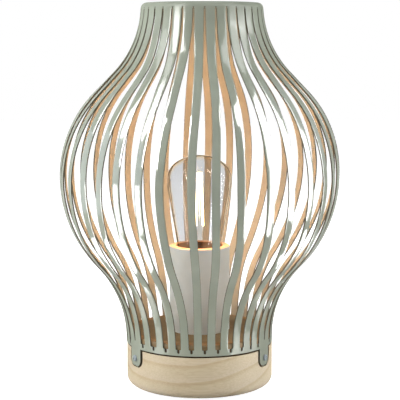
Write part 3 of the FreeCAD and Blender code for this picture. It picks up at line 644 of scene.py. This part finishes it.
def back_drift(k):
    """How far a slat at the back stands outward and to the side."""
    from_back = (degrees((k + 0.5) * PITCH) + 90.0) % 360.0 - 180.0
    share = fade_in(abs(from_back), *BACK_IN) * fade_out(abs(from_back), *BACK_OUT)
    if from_back < 0.0:
        share *= BACK_RIGHT_SHARE
    return BACK_DRAWN * share, BACK_ASIDE * share * sin(2.0 * radians(from_back))


def slit_low(seam):
    return TAB_SLIT_END if seam in TAB_SEAMS else NOTCH_BOTTOM


def slit_half(z, half_pitch, at_tab):
    """Half the width of a slit: a round relief at its top, a notch or a narrow end at its foot."""
    open_half = half_pitch - between(SLAT_HALVES, z)
    relief_z = SLIT_TOP - RELIEF
    if z > relief_z - RELIEF:
        relief = sqrt(max(RELIEF ** 2 - (z - relief_z) ** 2, 0.0))
        return relief if z > relief_z else max(open_half, relief)
    if at_tab:
        end = TAB_SLIT_END + TAB_SLIT_HALF
        if z < end:
            return sqrt(max(TAB_SLIT_HALF ** 2 - (end - z) ** 2, 0.0))
        return TAB_SLIT_HALF + (open_half - TAB_SLIT_HALF) * fade_in(z, TAB_SLIT_END, TAB_SLIT_FADE)
    round_z = NOTCH_BOTTOM + NOTCH_HALF
    if z < round_z:
        return sqrt(max(NOTCH_HALF ** 2 - (round_z - z) ** 2, 0.0))
    if z <= BAND_TOP + TINY:
        return NOTCH_HALF
    drop = max(BAND_TOP + FOOT_CORNER - z, 0.0)
    return open_half - FOOT_CORNER + sqrt(FOOT_CORNER ** 2 - min(drop, FOOT_CORNER) ** 2)


def slat_edge(k, side, radius, z):
    """Distances from a slat's middle to its edge and to the seam, on the side 1 or -1."""
    seam = (k + 1) % SLATS if side > 0 else k
    half_pitch = radius * abs(middle_angle(k + side, z) - middle_angle(k, z)) / 2.0
    if slit_low(seam) <= z <= SLIT_TOP:
        return half_pitch - slit_half(z, half_pitch, seam in TAB_SEAMS), half_pitch
    return half_pitch - CLOSED_SEAM_HALF, half_pitch


def slat_habits():
    """What each slat does beside its drawing: stands to the side, twists and sinks."""
    random.seed(7)
    habits = []
    for k in range(SLATS):
        side, twist = random.uniform(-0.6, 0.6), random.uniform(-0.045, 0.045)
        sink, phase = random.uniform(DEEPEST_SINK, 0.0), random.uniform(0.0, TURN)
        drawn, aside = back_drift(k)
        habits.append({"side": STRAYS.get(k, (side,) * 3), "twist": twist, "phase": phase,
                       "sink": DEEPEST_SINK if k in TURNED else sink,
                       "turned": radians(TURNED.get(k, 0.0)), "drawn": drawn, "aside": aside})
    return habits


class Sheet:
    """The shade's outer face: points with names, and the quads between them."""

    def __init__(self):
        self.verts = []
        self.faces = []
        self.numbers = {}
        self.habits = slat_habits()

    def add(self, key, x, y, z):
        self.numbers[key] = len(self.verts)
        self.verts.append((x + between(SWAY, z), y, z))

    def on_ring(self, key, angle, radius, z):
        self.add(key, radius * cos(angle), radius * sin(angle), z)

    def on_slat(self, key, k, across, radius, z, lean):
        """A point at a distance across a slat from its middle line."""
        habit = self.habits[k]
        middle = middle_angle(k, z)
        free = sin(pi * min(max((z - BAND_TOP) / (SLIT_TOP - BAND_TOP), 0.0), 1.0)) ** 0.8
        twist = habit["twist"] * free * sin(habit["phase"] + z / 90.0)
        twist += habit["turned"] * fade_out(z, *TURNED_OUT) * fade_in(z, *TURNED_IN)
        bend = min(radius, FOOT_RADIUS)
        turn = across / bend
        out = bend * (cos(turn) - 1.0) + across * twist
        stray = fade_in(z, *STRAY_IN) * fade_out(z, *STRAY_OUT)
        aside = habit["aside"] + float(np.interp(z, STRAY_HEIGHTS, habit["side"]))
        side = bend * sin(turn) + stray * aside
        reach = radius + habit["sink"] * free + habit["drawn"] * stray + out * cos(lean)
        self.add(key, reach * cos(middle) - side * sin(middle),
                 reach * sin(middle) + side * cos(middle), z - out * sin(lean))

    def quad(self, *keys):
        if all(key in self.numbers for key in keys):
            self.faces.append(tuple(self.numbers[key] for key in keys))

    def add_row(self, i, radius, z, lean):
        """Five columns on each slat, and three more to its right where the sheet isn't slit."""
        on_ring = z >= SLIT_TOP - TINY or z <= BAND_TOP + TINY
        fade = fade_in(z, *BAND_IN)
        for k in range(SLATS):
            right = (k + 1) % SLATS
            right_edge, right_seam = slat_edge(k, 1, radius, z)
            left_edge, left_seam = (-size for size in slat_edge(k, -1, radius, z))
            inner_left = right_seam - TAB_HALF if right in TAB_SEAMS else left_edge * 0.5
            inner_right = left_seam + TAB_HALF if k in TAB_SEAMS else right_edge * 0.5
            columns = (left_edge, inner_left * (1.0 - fade) + left_edge * 0.5 * fade,
                       (left_edge + right_edge) / 2.0,
                       inner_right * (1.0 - fade) + right_edge * 0.5 * fade, right_edge)
            for c, across in enumerate(columns):
                if on_ring:
                    self.on_ring((k, c, i), middle_angle(k, z) + across / radius, radius, z)
                else:
                    self.on_slat((k, c, i), k, across, radius, z, lean)
            if z <= max(slit_low(right), BAND_TOP) or z >= SLIT_TOP - TINY:
                start = middle_angle(k, z) + right_edge / radius
                gap = 2.0 * (right_seam - right_edge) / radius
                for c, share in ((5, 0.25), (6, 0.5), (7, 0.75)):
                    self.on_ring((k, c, i), start + gap * share, radius, z)

    def join_rows(self, i, low, high):
        """Quads between two rows, across a seam only above or below its slit."""
        for k in range(SLATS):
            right = (k + 1) % SLATS
            columns = [(k, c) for c in range(5)]
            if high <= slit_low(right) + TINY or low >= SLIT_TOP - TINY:
                columns += [(k, 5), (k, 6), (k, 7), (right, 0)]
            for a, b in zip(columns, columns[1:]):
                self.quad((*a, i), (*b, i), (*b, i + 1), (*a, i + 1))

    def add_tab(self, seam):
        """Continue the band's columns downward to the tab's rounded end."""
        before = (seam - 1) % SLATS
        last = [(before, c, 0) for c in range(1, 8)] + [(seam, c, 0) for c in range(4)]
        centre = seam * PITCH
        offsets = []
        for key in last:
            x, y, _ = self.verts[self.numbers[key]]
            angle = atan2(y, x - between(SWAY, BAND_BOTTOM)) - centre
            offsets.append(((angle + pi) % TURN - pi) * FOOT_RADIUS)
        reach = max(abs(offset) for offset in offsets)
        for n, z in enumerate(TAB_ROWS):
            drop = TAB_BOTTOM + TAB_CORNER - z
            half = TAB_HALF
            if drop > 0.0:
                half += sqrt(max(TAB_CORNER ** 2 - drop ** 2, 0.0)) - TAB_CORNER
            row = [("tab", seam, c, n) for c in range(len(offsets))]
            for key, offset in zip(row, offsets):
                self.on_ring(key, centre + offset * half / reach / FOOT_RADIUS, FOOT_RADIUS, z)
            for c in range(len(row) - 1):
                self.quad(row[c], row[c + 1], last[c + 1], last[c])
            last = row


def build_shade():
    """One sheet with a cut edge darkened by painted shade, and a duller inside."""
    sheet = Sheet()
    rows = shade_rows()
    for i, (radius, z, lean) in enumerate(rows):
        sheet.add_row(i, radius, z, lean)
    for i in range(len(rows) - 1):
        sheet.join_rows(i, rows[i][1], rows[i + 1][1])
    for seam in TAB_SEAMS:
        sheet.add_tab(seam)
    mesh = new_mesh("slatted_shade", sheet.verts, sheet.faces)
    shade = add_piece("slatted_shade", mesh, "stand", "sage_metal", "paint", "edge", "inside")
    clean(shade, gap=2e-5, from_axis=True)
    adjust(shade.modifiers.new("sheet", "SOLIDIFY"), thickness=SHEET * MM, offset=-1.0, use_even_offset=True,
           use_quality_normals=True, material_offset=2, material_offset_rim=1)
    adjust(shade.modifiers.new("bevel", "BEVEL"), width=CUT_EDGE * MM, segments=2, limit_method="ANGLE",
           angle_limit=radians(50.0), use_clamp_overlap=False, material=1)
    apply_modifiers(shade)
    soften(shade, 30.0)
    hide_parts("slat_shade")


# Base

def build_base():
    """Turned base with soft edges, and three shallow pockets milled for the tabs."""
    outline = [(TUBE_HOLE, RECESS_ROOF), (RECESS_RADIUS, RECESS_ROOF), (RECESS_RADIUS, PLATE_SEAT[1])]
    outline += [PLATE_SEAT, (PLATE_SEAT[0], BASE_BOTTOM)]
    outline += arc((BASE_RADIUS - BASE_ROUNDING, BASE_BOTTOM + BASE_ROUNDING), BASE_ROUNDING, -90.0, 0.0, 14)
    outline += [(BASE_RADIUS, 20.0), (BASE_RADIUS, 30.0)]
    outline += top_corner(BASE_RADIUS, SHOULDER_Z, SHOULDER_ROUNDING, 4)
    outline += [(GROOVE_RADIUS, SHOULDER_Z), (GROOVE_RADIUS, STEP_Z - 0.6), (STEP_RADIUS, STEP_Z)]
    outline += top_corner(STEP_RADIUS, BASE_TOP, STEP_ROUNDING, 4)
    outline += [(RECESS_RADIUS, BASE_TOP), (TUBE_HOLE, BASE_TOP)]
    base = lathe("pine_base", outline, "stand", "pine", "pine", count=288)
    cutters = [pocket_cutter(radians(angle)) for angle in TAB_ANGLES]
    for cutter in cutters:
        adjust(base.modifiers.new("pocket", "BOOLEAN"), operation="DIFFERENCE", solver="EXACT", object=cutter)
    apply_modifiers(base)
    for cutter in cutters:
        bpy.data.objects.remove(cutter)
    soften(base, 40.0)
    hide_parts("wood_base")


def pocket_cutter(angle):
    """Curved block with two round lower corners, whose inner face leaves the pocket's floor."""
    low_z = POCKET_LOW + POCKET_CORNER
    outline = [(-POCKET_HALF, POCKET_HIGH)]
    outline += arc((POCKET_CORNER - POCKET_HALF, low_z), POCKET_CORNER, 180.0, 270.0, 8)
    outline += arc((POCKET_HALF - POCKET_CORNER, low_z), POCKET_CORNER, 270.0, 360.0, 8)
    outline += [(POCKET_HALF, POCKET_HIGH)]
    dense = []
    for (s0, z0), (s1, z1) in zip(outline, outline[1:] + outline[:1]):
        steps = 16 if abs(s1 - s0) > POCKET_STEP else 1
        dense += [(s0 + (s1 - s0) * k / steps, z0 + (z1 - z0) * k / steps) for k in range(steps)]
    inner, outer = STEP_RADIUS - 1.0, BASE_RADIUS + 3.0
    verts = []
    rings = [add_ring(verts, [(reach * cos(angle + s / inner), reach * sin(angle + s / inner), z)
                              for s, z in dense]) for reach in (inner, outer)]
    faces = strip(*rings) + [tuple(reversed(rings[0])), tuple(rings[1])]
    cutter = place("cutter", new_mesh("cutter", verts, faces))
    clean(cutter)
    return cutter


def screw_mesh():
    """Vertices and faces of a screw along X: a round head with a cross recess, on a plain shank."""
    spokes, rings = 48, 14
    verts, chain = [], []
    for i in range(rings + 1):
        quarter = i / rings * pi / 2.0
        radius = SCREW_HEAD * sin(quarter)
        top = SCREW_SEAT + SCREW_RISE * cos(quarter) ** 0.8
        points = []
        for u, v, _ in circle(radius, 0.0, spokes):
            recess = fade_out(min(abs(u), abs(v)), CROSS_HALF, 0.18) * fade_out(radius, CROSS_REACH, 0.3)
            points.append((top - CROSS_DEPTH * recess, u, v))
        chain.append(add_ring(verts, points))
    faces = [face for low, high in zip(chain, chain[1:]) for face in strip(low, high)]
    faces += fan(chain[-1], add_ring(verts, [(SCREW_SEAT, 0.0, 0.0)])[0])
    shank = [add_ring(verts, [(x, u, v) for u, v, _ in circle(SCREW_SHANK, 0.0, 12)])
             for x in (SCREW_SEAT - SCREW_LENGTH, SCREW_SEAT)]
    return verts, faces + strip(*shank) + [tuple(shank[0])]


def build_screws():
    """One screw in each tab."""
    verts, faces = screw_mesh()
    screws = []
    for number, angle in enumerate(TAB_ANGLES):
        c, s = cos(radians(angle)), sin(radians(angle))
        turned = [(x * c - y * s, x * s + y * c, z + TAB_SCREW_Z) for x, y, z in verts]
        name = "tab_screw_%d" % (number + 1)
        screws.append(add_piece(name, new_mesh(name, turned, faces), "stand", "screw_steel", "screw"))
        clean(screws[-1])
        soften(screws[-1], 40.0)
    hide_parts("shade_screws")


# Socket cover and lamp

def build_cover():
    """Pressed cup with an inturned rim, whose inside and rim wear a gold tone of painted warm lamp light."""
    outer, inner, top = COVER_RADIUS, COVER_RADIUS - COVER_WALL, COVER_TOP
    low = BASE_TOP + COVER_WALL
    lip = COVER_WALL / 2.0
    outline = [(TUBE_HOLE, BASE_TOP), (outer - 0.3, BASE_TOP), (outer, BASE_TOP + 0.3)]
    outline += [(outer, 80.0), (outer, 110.0)] + top_corner(outer, top, COVER_ROUNDING, 8)
    outline += [(26.0, top), (COVER_MOUTH - 0.2, top)] + arc((COVER_MOUTH, top - lip), lip, 90.0, 270.0, 8)
    outline += [(26.0, top - COVER_WALL), (inner - 0.5, top - COVER_WALL), (inner, top - COVER_ROUNDING)]
    outline += [(inner, 100.0), (inner, low), (TUBE_HOLE, low)]
    cover = lathe("socket_cover_cup", outline, "stand", "cover_metal", "cover", "cover_warm_light", count=192)
    # faces inside and on the rim take a gold tone of painted lamp light and painted reflection
    for face in cover.data.polygons:
        if hypot(face.center.x, face.center.y) < (outer - 0.5) * MM:
            face.material_index = 1
    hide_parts("socket_cover")


def globe_outline(inset):
    """One face of the globe from its neck to its top: taper, slow waist, shoulder and crown."""
    taper = radians(GLOBE_TAPER)
    rise, reach = GLOBE_TOP - GLOBE_WIDEST_Z, GLOBE_RADIUS - GLOBE_SHOULDER
    crown = (reach ** 2 + rise ** 2 - GLOBE_SHOULDER ** 2) / (2.0 * (rise - GLOBE_SHOULDER))
    tilt = 90.0 - degrees(asin(reach / (crown - GLOBE_SHOULDER)))
    waist = GLOBE_WAIST - inset
    waist_centre = GLOBE_RADIUS - GLOBE_WAIST
    high_r = waist_centre + waist * cos(taper)
    high_z = GLOBE_WIDEST_Z - waist * sin(taper)
    foot = high_r - (high_z - GLOBE_FOOT_Z) * tan(taper)
    start = foot + GLOBE_FOOT_STEP
    neck = GLOBE_NECK - inset
    points = [(neck, NECK_LOW), (neck, NECK_HIGH)]
    for k in range(1, 8):
        points.append((neck + (foot - neck) * smooth_step(k / 8.0),
                       NECK_HIGH + (TAPER_START - NECK_HIGH) * k / 8.0))
    for k in range(1, 24):
        share = k / 24.0
        points.append((start + (high_r - start) * share, TAPER_START + (high_z - TAPER_START) * share))
    points += arc((waist_centre, GLOBE_WIDEST_Z), waist, -GLOBE_TAPER, 0.0, 10)
    points += arc((reach, GLOBE_WIDEST_Z), GLOBE_SHOULDER - inset, 0.0, tilt, 22)[1:]
    points += arc((0.0, GLOBE_TOP - crown), crown - inset, tilt, 90.0, 16)[1:-1]
    return points + [(0.0, GLOBE_TOP - inset)]


def build_globe():
    outline = globe_outline(0.0) + globe_outline(GLOBE_WALL)[::-1]
    globe = lathe("globe", outline, "lamp", "globe_glass", "glass", sharp=60.0)
    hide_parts("lamp_globe")


def build_stem():
    """Flared foot, slim tube and pinched end."""
    outline = [(0.0, STEM_LOW), (11.0, STEM_LOW)]
    for k in range(1, 11):
        share = k / 10.0
        outline.append((3.2 + 7.8 * (1.0 - share) ** 2.2, STEM_LOW + (STEM_WAIST_TOP - STEM_LOW) * share))
    outline += [(3.0, 125.0), (3.1, 140.0), (3.2, STEM_PINCH)]
    for k in range(1, 9):
        share = k / 8.0
        outline.append((3.2 - 2.2 * share ** 0.9, STEM_PINCH + (STEM_TOP - STEM_PINCH) * share))
    outline += [(0.7, STEM_TOP + 0.5), (0.0, STEM_TOP + 0.6)]
    stem = lathe("glass_stem", outline, "lamp", "stem_glass", "stem", count=64, sharp=60.0)
    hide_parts("lamp_stem")


def wire(name, points, radius, slot, mat):
    """Round bar along a few points, as a mesh."""
    curve = adjust(bpy.data.curves.new(name, "CURVE"), dimensions="3D", bevel_depth=radius * MM,
                   bevel_resolution=3, use_fill_caps=True)
    spline = curve.splines.new("POLY")
    spline.points.add(len(points) - 1)
    for knot, point in zip(spline.points, points):
        knot.co = (*(size * MM for size in point), 1.0)
    maker = place(name, curve)
    graph = bpy.context.evaluated_depsgraph_get()
    mesh = bpy.data.meshes.new_from_object(maker.evaluated_get(graph))
    bpy.data.objects.remove(maker)
    obj = add_piece(name, mesh, "lamp", slot, mat)
    soften(obj, 50.0)
    return obj


def build_filaments():
    """Four lit sticks that lean together, on a centre wire and four leads."""
    sticks, leads = [], []
    hub = (0.0, 0.0, HUB_Z)

    def thin(name, points, radius=WIRE_RADIUS):
        leads.append(wire(name, points, radius, "wire_steel", "wire"))

    for k in range(4):
        turn = TURN * (k + 0.5) / 4
        c, s = cos(turn), sin(turn)
        low, high = ((reach * c, reach * s, z) for reach, z in (FILAMENT_LOW, FILAMENT_HIGH))
        sticks.append(wire("filament_%d" % (k + 1), [low, high], FILAMENT_RADIUS, "filament", "filament"))
        sticks[-1].visible_diffuse = False
        way = [(b - a) / FILAMENT_RISE for a, b in zip(low, high)]
        for n, (end, step) in enumerate(((low, -FILAMENT_TAB), (high, FILAMENT_TAB))):
            tip = [size + share * step for size, share in zip(end, way)]
            thin("filament_tab_%d_%d" % (k + 1, n), [end, tip], TAB_RADIUS)
        thin("arm_%d" % (k + 1), [hub, (1.4 * c, 1.4 * s, 212.2), (2.25 * c, 2.25 * s, 210.6)])
        thin("lead_%d" % (k + 1), [(3.2 * c, 3.2 * s, STEM_PINCH), (3.9 * c, 3.9 * s, 151.0),
                                   (4.85 * c, 4.85 * s, 156.4)])
    thin("centre_wire", [(0.0, 0.0, 164.0), hub])
    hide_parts("lamp_filaments")
    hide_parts("lamp_wires")


def build_cap():
    """Rolled brass cap: the thread is a wave that climbs one pitch a turn."""
    spokes, rows = 96, 90
    verts, thread = [], []
    for i in range(rows + 1):
        z = CAP_LOW + (CAP_HIGH - CAP_LOW) * i / rows
        fade = fade_in(z, CAP_LOW, THREAD_FADE) * fade_out(z, CAP_HIGH, THREAD_FADE)
        points = []
        for k in range(spokes):
            turn = TURN * k / spokes
            wave = 0.5 - 0.5 * cos(TURN * (z - CAP_LOW) / THREAD_PITCH - turn)
            radius = CAP_RADIUS - THREAD_DEPTH * wave * fade
            points.append((radius * cos(turn), radius * sin(turn), z))
        thread.append(add_ring(verts, points))
    below = [(11.9, 91.3), (11.0, 91.0), (4.7, 91.0), (4.7, 91.4), (11.0, 91.4)]
    above = [(12.95, 109.4), (12.8, 110.0), (12.3, 110.0), (12.1, 109.0)]
    chains = [thread]
    for end, outline in ((thread[0], below), (thread[-1], above)):
        chains.append([end] + [add_ring(verts, circle(radius, z, spokes)) for radius, z in outline])
    faces = [face for chain in chains for low, high in zip(chain, chain[1:]) for face in strip(low, high)]
    cap = add_piece("screw_cap", new_mesh("screw_cap", verts, faces), "lamp", "cap_brass", "brass")
    clean(cap)
    soften(cap, 50.0)
    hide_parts("lamp_cap")


# Camera, lights and stage, in metres, degrees and watts

CAMERA_TURN = 1.0  # how far to the left of the front the camera stands
CAMERA_REACH = 1.2316
CAMERA_Z = 0.3396
CAMERA_DIP = 7.27
CAMERA_ASIDE = 0.02
FOCAL_LENGTH = 1264.0 / 400.0  # focal length over the picture's width
SENSOR = 36.0
MIDDLE = (0.0, 0.0, 0.2)  # what the lamps and cards aim at


def toward(azimuth, elevation, distance):
    """Place seen from the middle at an azimuth counted to the right from the front."""
    a, e = radians(azimuth), radians(elevation)
    return (MIDDLE[0] + distance * cos(e) * sin(a), MIDDLE[1] - distance * cos(e) * cos(a),
            MIDDLE[2] + distance * sin(e))


# Soft lamps for diffuse light: place, aim, size and power
SOFTBOXES = {
    "left_soft": (toward(-77.0, 26.0, 1.6), MIDDLE, (1.1, 1.0), 31.0),
    "right_soft": (toward(78.0, 25.0, 1.6), MIDDLE, (1.1, 1.0), 20.0),
    "top_soft": (toward(0.0, 70.0, 1.8), MIDDLE, (1.4, 1.4), 4.0),
    "floor_bounce": ((0.0, -0.45, 0.003), (0.0, -0.45, 1.0), (1.0, 0.7), 1.5),
}

# Cards that only reflections show: azimuth, elevation, distance, half the width and half the height as
# angles, radiance and colour
WHITE = (1.0, 1.0, 1.0)
PALE_BLUE = (0.76, 0.84, 1.0)
CARDS = {
    "left_high_card": (-78.0, 50.0, 1.5, 9.0, 20.0, 36.0, WHITE),
    "left_near_card": (-45.0, 34.0, 1.5, 8.0, 22.0, 130.0, WHITE),
    "left_low_card": (-66.0, -20.0, 1.3, 9.0, 17.0, 36.0, WHITE),
    "left_deep_card": (-92.0, -48.0, 1.3, 14.0, 12.0, 36.0, WHITE),
    "right_high_card": (66.0, 45.0, 1.5, 18.0, 20.0, 36.0, WHITE),
    "right_middle_card": (73.0, 0.0, 1.4, 25.0, 29.0, 36.0, WHITE),
    "right_low_card": (55.0, -30.0, 1.3, 7.0, 11.0, 36.0, WHITE),
    "right_far_card": (112.0, -40.0, 1.4, 7.0, 10.0, 36.0, WHITE),
    "left_pale_card": (-84.0, 4.0, 1.7, 34.0, 26.0, 5.0, PALE_BLUE),
    "right_pale_card": (84.0, 30.0, 1.7, 34.0, 30.0, 1.6, PALE_BLUE),
}

GLOW_PLACE = (0.0, 0.0, 0.203)
GLOW_RADIUS = 0.006
GLOW_POWER = 2.0
GLOW_COLOR = (1.0, 0.50, 0.24)
FILL_COLOR = (0.98, 0.99, 1.0, 1.0)
FILL_STRENGTH = 0.31
FLOOR_HALF = 4000.0  # in millimetres, as meshes are
FLOOR_Z = -0.2
FLOOR_GREY = 0.50
FLOOR_GLOW = 0.88


def build_camera():
    data = adjust(bpy.data.cameras.new("camera"), sensor_width=SENSOR, sensor_fit="HORIZONTAL",
                  lens=FOCAL_LENGTH * SENSOR, clip_end=30.0)
    camera = place("camera", data)
    turn = radians(CAMERA_TURN)
    camera.location = (-CAMERA_REACH * sin(turn), -CAMERA_REACH * cos(turn), CAMERA_Z)
    camera.rotation_euler = (radians(90.0 - CAMERA_DIP), 0.0, -turn - radians(CAMERA_ASIDE))
    bpy.context.scene.camera = camera


def area(name, start, aim, size, power, color=WHITE, diffuse=True, glossy=True):
    """Area light that the camera doesn't see."""
    data = adjust(bpy.data.lights.new(name, "AREA"), shape="RECTANGLE", size=size[0], size_y=size[1],
                  energy=power, color=color)
    adjust(place(name, data), location=start, visible_camera=False, visible_transmission=False,
           rotation_euler=(Vector(aim) - Vector(start)).to_track_quat("-Z", "Y").to_euler(),
           visible_diffuse=diffuse, visible_glossy=glossy)


def build_lights():
    for name, lamp in SOFTBOXES.items():
        area(name, *lamp, glossy=False)
    for name, (azimuth, elevation, distance, half_wide, half_high, radiance, color) in CARDS.items():
        size = [2.0 * distance * tan(radians(half)) for half in (half_wide, half_high)]
        area(name, toward(azimuth, elevation, distance), MIDDLE, size, radiance * pi * size[0] * size[1],
             color, diffuse=False)
    glow = adjust(bpy.data.lights.new("lamp_glow", "POINT"), energy=GLOW_POWER, color=GLOW_COLOR,
                  shadow_soft_size=GLOW_RADIUS)
    adjust(place("lamp_glow", glow), location=GLOW_PLACE, visible_camera=False, visible_glossy=False,
           visible_transmission=False)


def seen(tree):
    """1 for rays from the camera, reflections and refractions, and 0 for the rays that light things."""
    path = put(tree, "LightPath")
    direct = math_node(tree, "MAXIMUM", (path, "Is Camera Ray"), (path, "Is Glossy Ray"))
    return math_node(tree, "MAXIMUM", direct, (path, "Is Transmission Ray"))


def build_world():
    """White where it is seen, and a soft fill light."""
    world = bpy.data.worlds.new("studio")
    bpy.context.scene.world = world
    world.use_nodes = True
    tree = world.node_tree
    tree.nodes.clear()
    soft = put(tree, "Background", Color=FILL_COLOR, Strength=FILL_STRENGTH)
    white = put(tree, "Background", Color=grey(1.0), Strength=1.0)
    link(mix_shaders(tree, soft, white, seen(tree)), put(tree, "OutputWorld"))


def build_floor():
    """White floor just under the pads that keeps the lantern's shadow."""
    corners = [(x * FLOOR_HALF, y * FLOOR_HALF, FLOOR_Z) for x, y in ((-1, -1), (1, -1), (1, 1), (-1, 1))]
    floor = place("floor", new_mesh("floor", corners, [(0, 1, 2, 3)]))
    mat, tree, shader = material("floor_white", "AddShader")
    glow = put(tree, "Emission", Color=grey(1.0))
    link(math_node(tree, "MULTIPLY", seen(tree), FLOOR_GLOW), glow, 0, "Strength")
    link(put(tree, "BsdfDiffuse", Color=grey(FLOOR_GREY)), shader)
    link(glow, shader, 0, 1)
    floor.data.materials.append(mat)
    adjust(floor, visible_shadow=False, visible_glossy=False)


# The scene

# How thick the gloss lies on the shade: (height, share)
GLOSS = [(100.0, 0.15), (118.0, 1.0), (293.0, 1.0), (304.0, 0.25), (358.0, 0.25), (366.0, 0.08)]

MATS = {
    "paint": paint("sage_powder_coat", (0.270, 0.295, 0.238), gloss=0.08, coat=0.45, layers=GLOSS),
    # the cut edges are the same paint as the slats; their dark colour is painted shade in the slits
    "edge": paint("sage_cut_edge_painted_shade", (0.115, 0.11, 0.082), gloss=0.3),
    "inside": paint("sage_inside", (0.285, 0.293, 0.240), gloss=0.35),
    "cover": paint("pale_grey_lacquer", (0.50, 0.53, 0.51), gloss=0.4, coat=0.01),
    # gold tone of painted warm lamp light and reflection, for the cover's inside and rim
    "cover_warm_light": metal("warm_painted_light", (0.56, 0.36, 0.20), 0.45, metallic=0.3),
    "pine": pine(),
    "screw": metal("zinc_blue", (0.30, 0.34, 0.36), 0.55, (300.0, 300.0, 300.0), metallic=0.0),
    "steel": metal("zinc_steel", (0.60, 0.60, 0.60), 0.38),
    "brass": metal("brass", (0.85, 0.63, 0.24), 0.28, metallic=0.7),
    "wire": metal("nickel_wire", (0.62, 0.58, 0.50), 0.3),
    "solder": metal("solder", (0.62, 0.62, 0.62), 0.45, (120.0, 120.0, 120.0)),
    "plate": plain("fibre_plate", (0.06, 0.06, 0.06), 0.7),
    "rubber": plain("pad_rubber", (0.03, 0.03, 0.03), 0.8, 700.0, 0.3),
    "bush": plain("bush_nylon", (0.70, 0.69, 0.65), 0.45),
    # the warm tan on the lamp holder is painted warm lamp light in the socket's hole
    "holder": plain("holder_warm_painted_light", (0.66, 0.56, 0.40), 0.32, 300.0, 0.1, 0.2),
    "ceramic": plain("steatite", (0.84, 0.81, 0.75), 0.5, 260.0, 0.2, 0.3),
    "black_glass": plain("black_glass", (0.012, 0.012, 0.014), 0.12, 120.0, 0.05, 0.8),
    "board": plain("driver_board", (0.05, 0.20, 0.09), 0.5, 500.0, 0.2),
    "glass": glass("clear_glass", (0.87, 0.872, 0.875), 0.0, 0.3),
    "stem": glass("stem_glass", (0.90, 0.88, 0.84), 0.03, 0.2),
    "filament": glowing("lit_filament", (1.0, 0.66, 0.30), 38.0),
}

# Materials of the CAD nodes that are shown as they are
DRESSED = {
    "plate": ("bottom_cover",),
    "steel": ("cover_screws", "threaded_tube", "base_washer", "base_nut", "cover_nut", "terminal_screws"),
    "rubber": ("foot_pads",),
    "bush": ("cord_bush",),
    "holder": ("holder_cap", "holder_sleeve"),
    "ceramic": ("holder_insert",),
    "brass": ("screw_shell", "centre_contact", "holder_terminals"),
    "solder": ("lamp_tip",),
    "black_glass": ("lamp_insulator",),
    "board": ("lamp_driver",),
}

build_world()
build_floor()
build_camera()
build_lights()
build_shade()
build_base()
build_screws()
build_cover()
build_globe()
build_stem()
build_filaments()
build_cap()

for name, nodes in DRESSED.items():
    for node in nodes:
        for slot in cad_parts[node].material_slots:
            slot.material = MATS[name]

scene = bpy.context.scene
scene.view_settings.view_transform = "Standard"
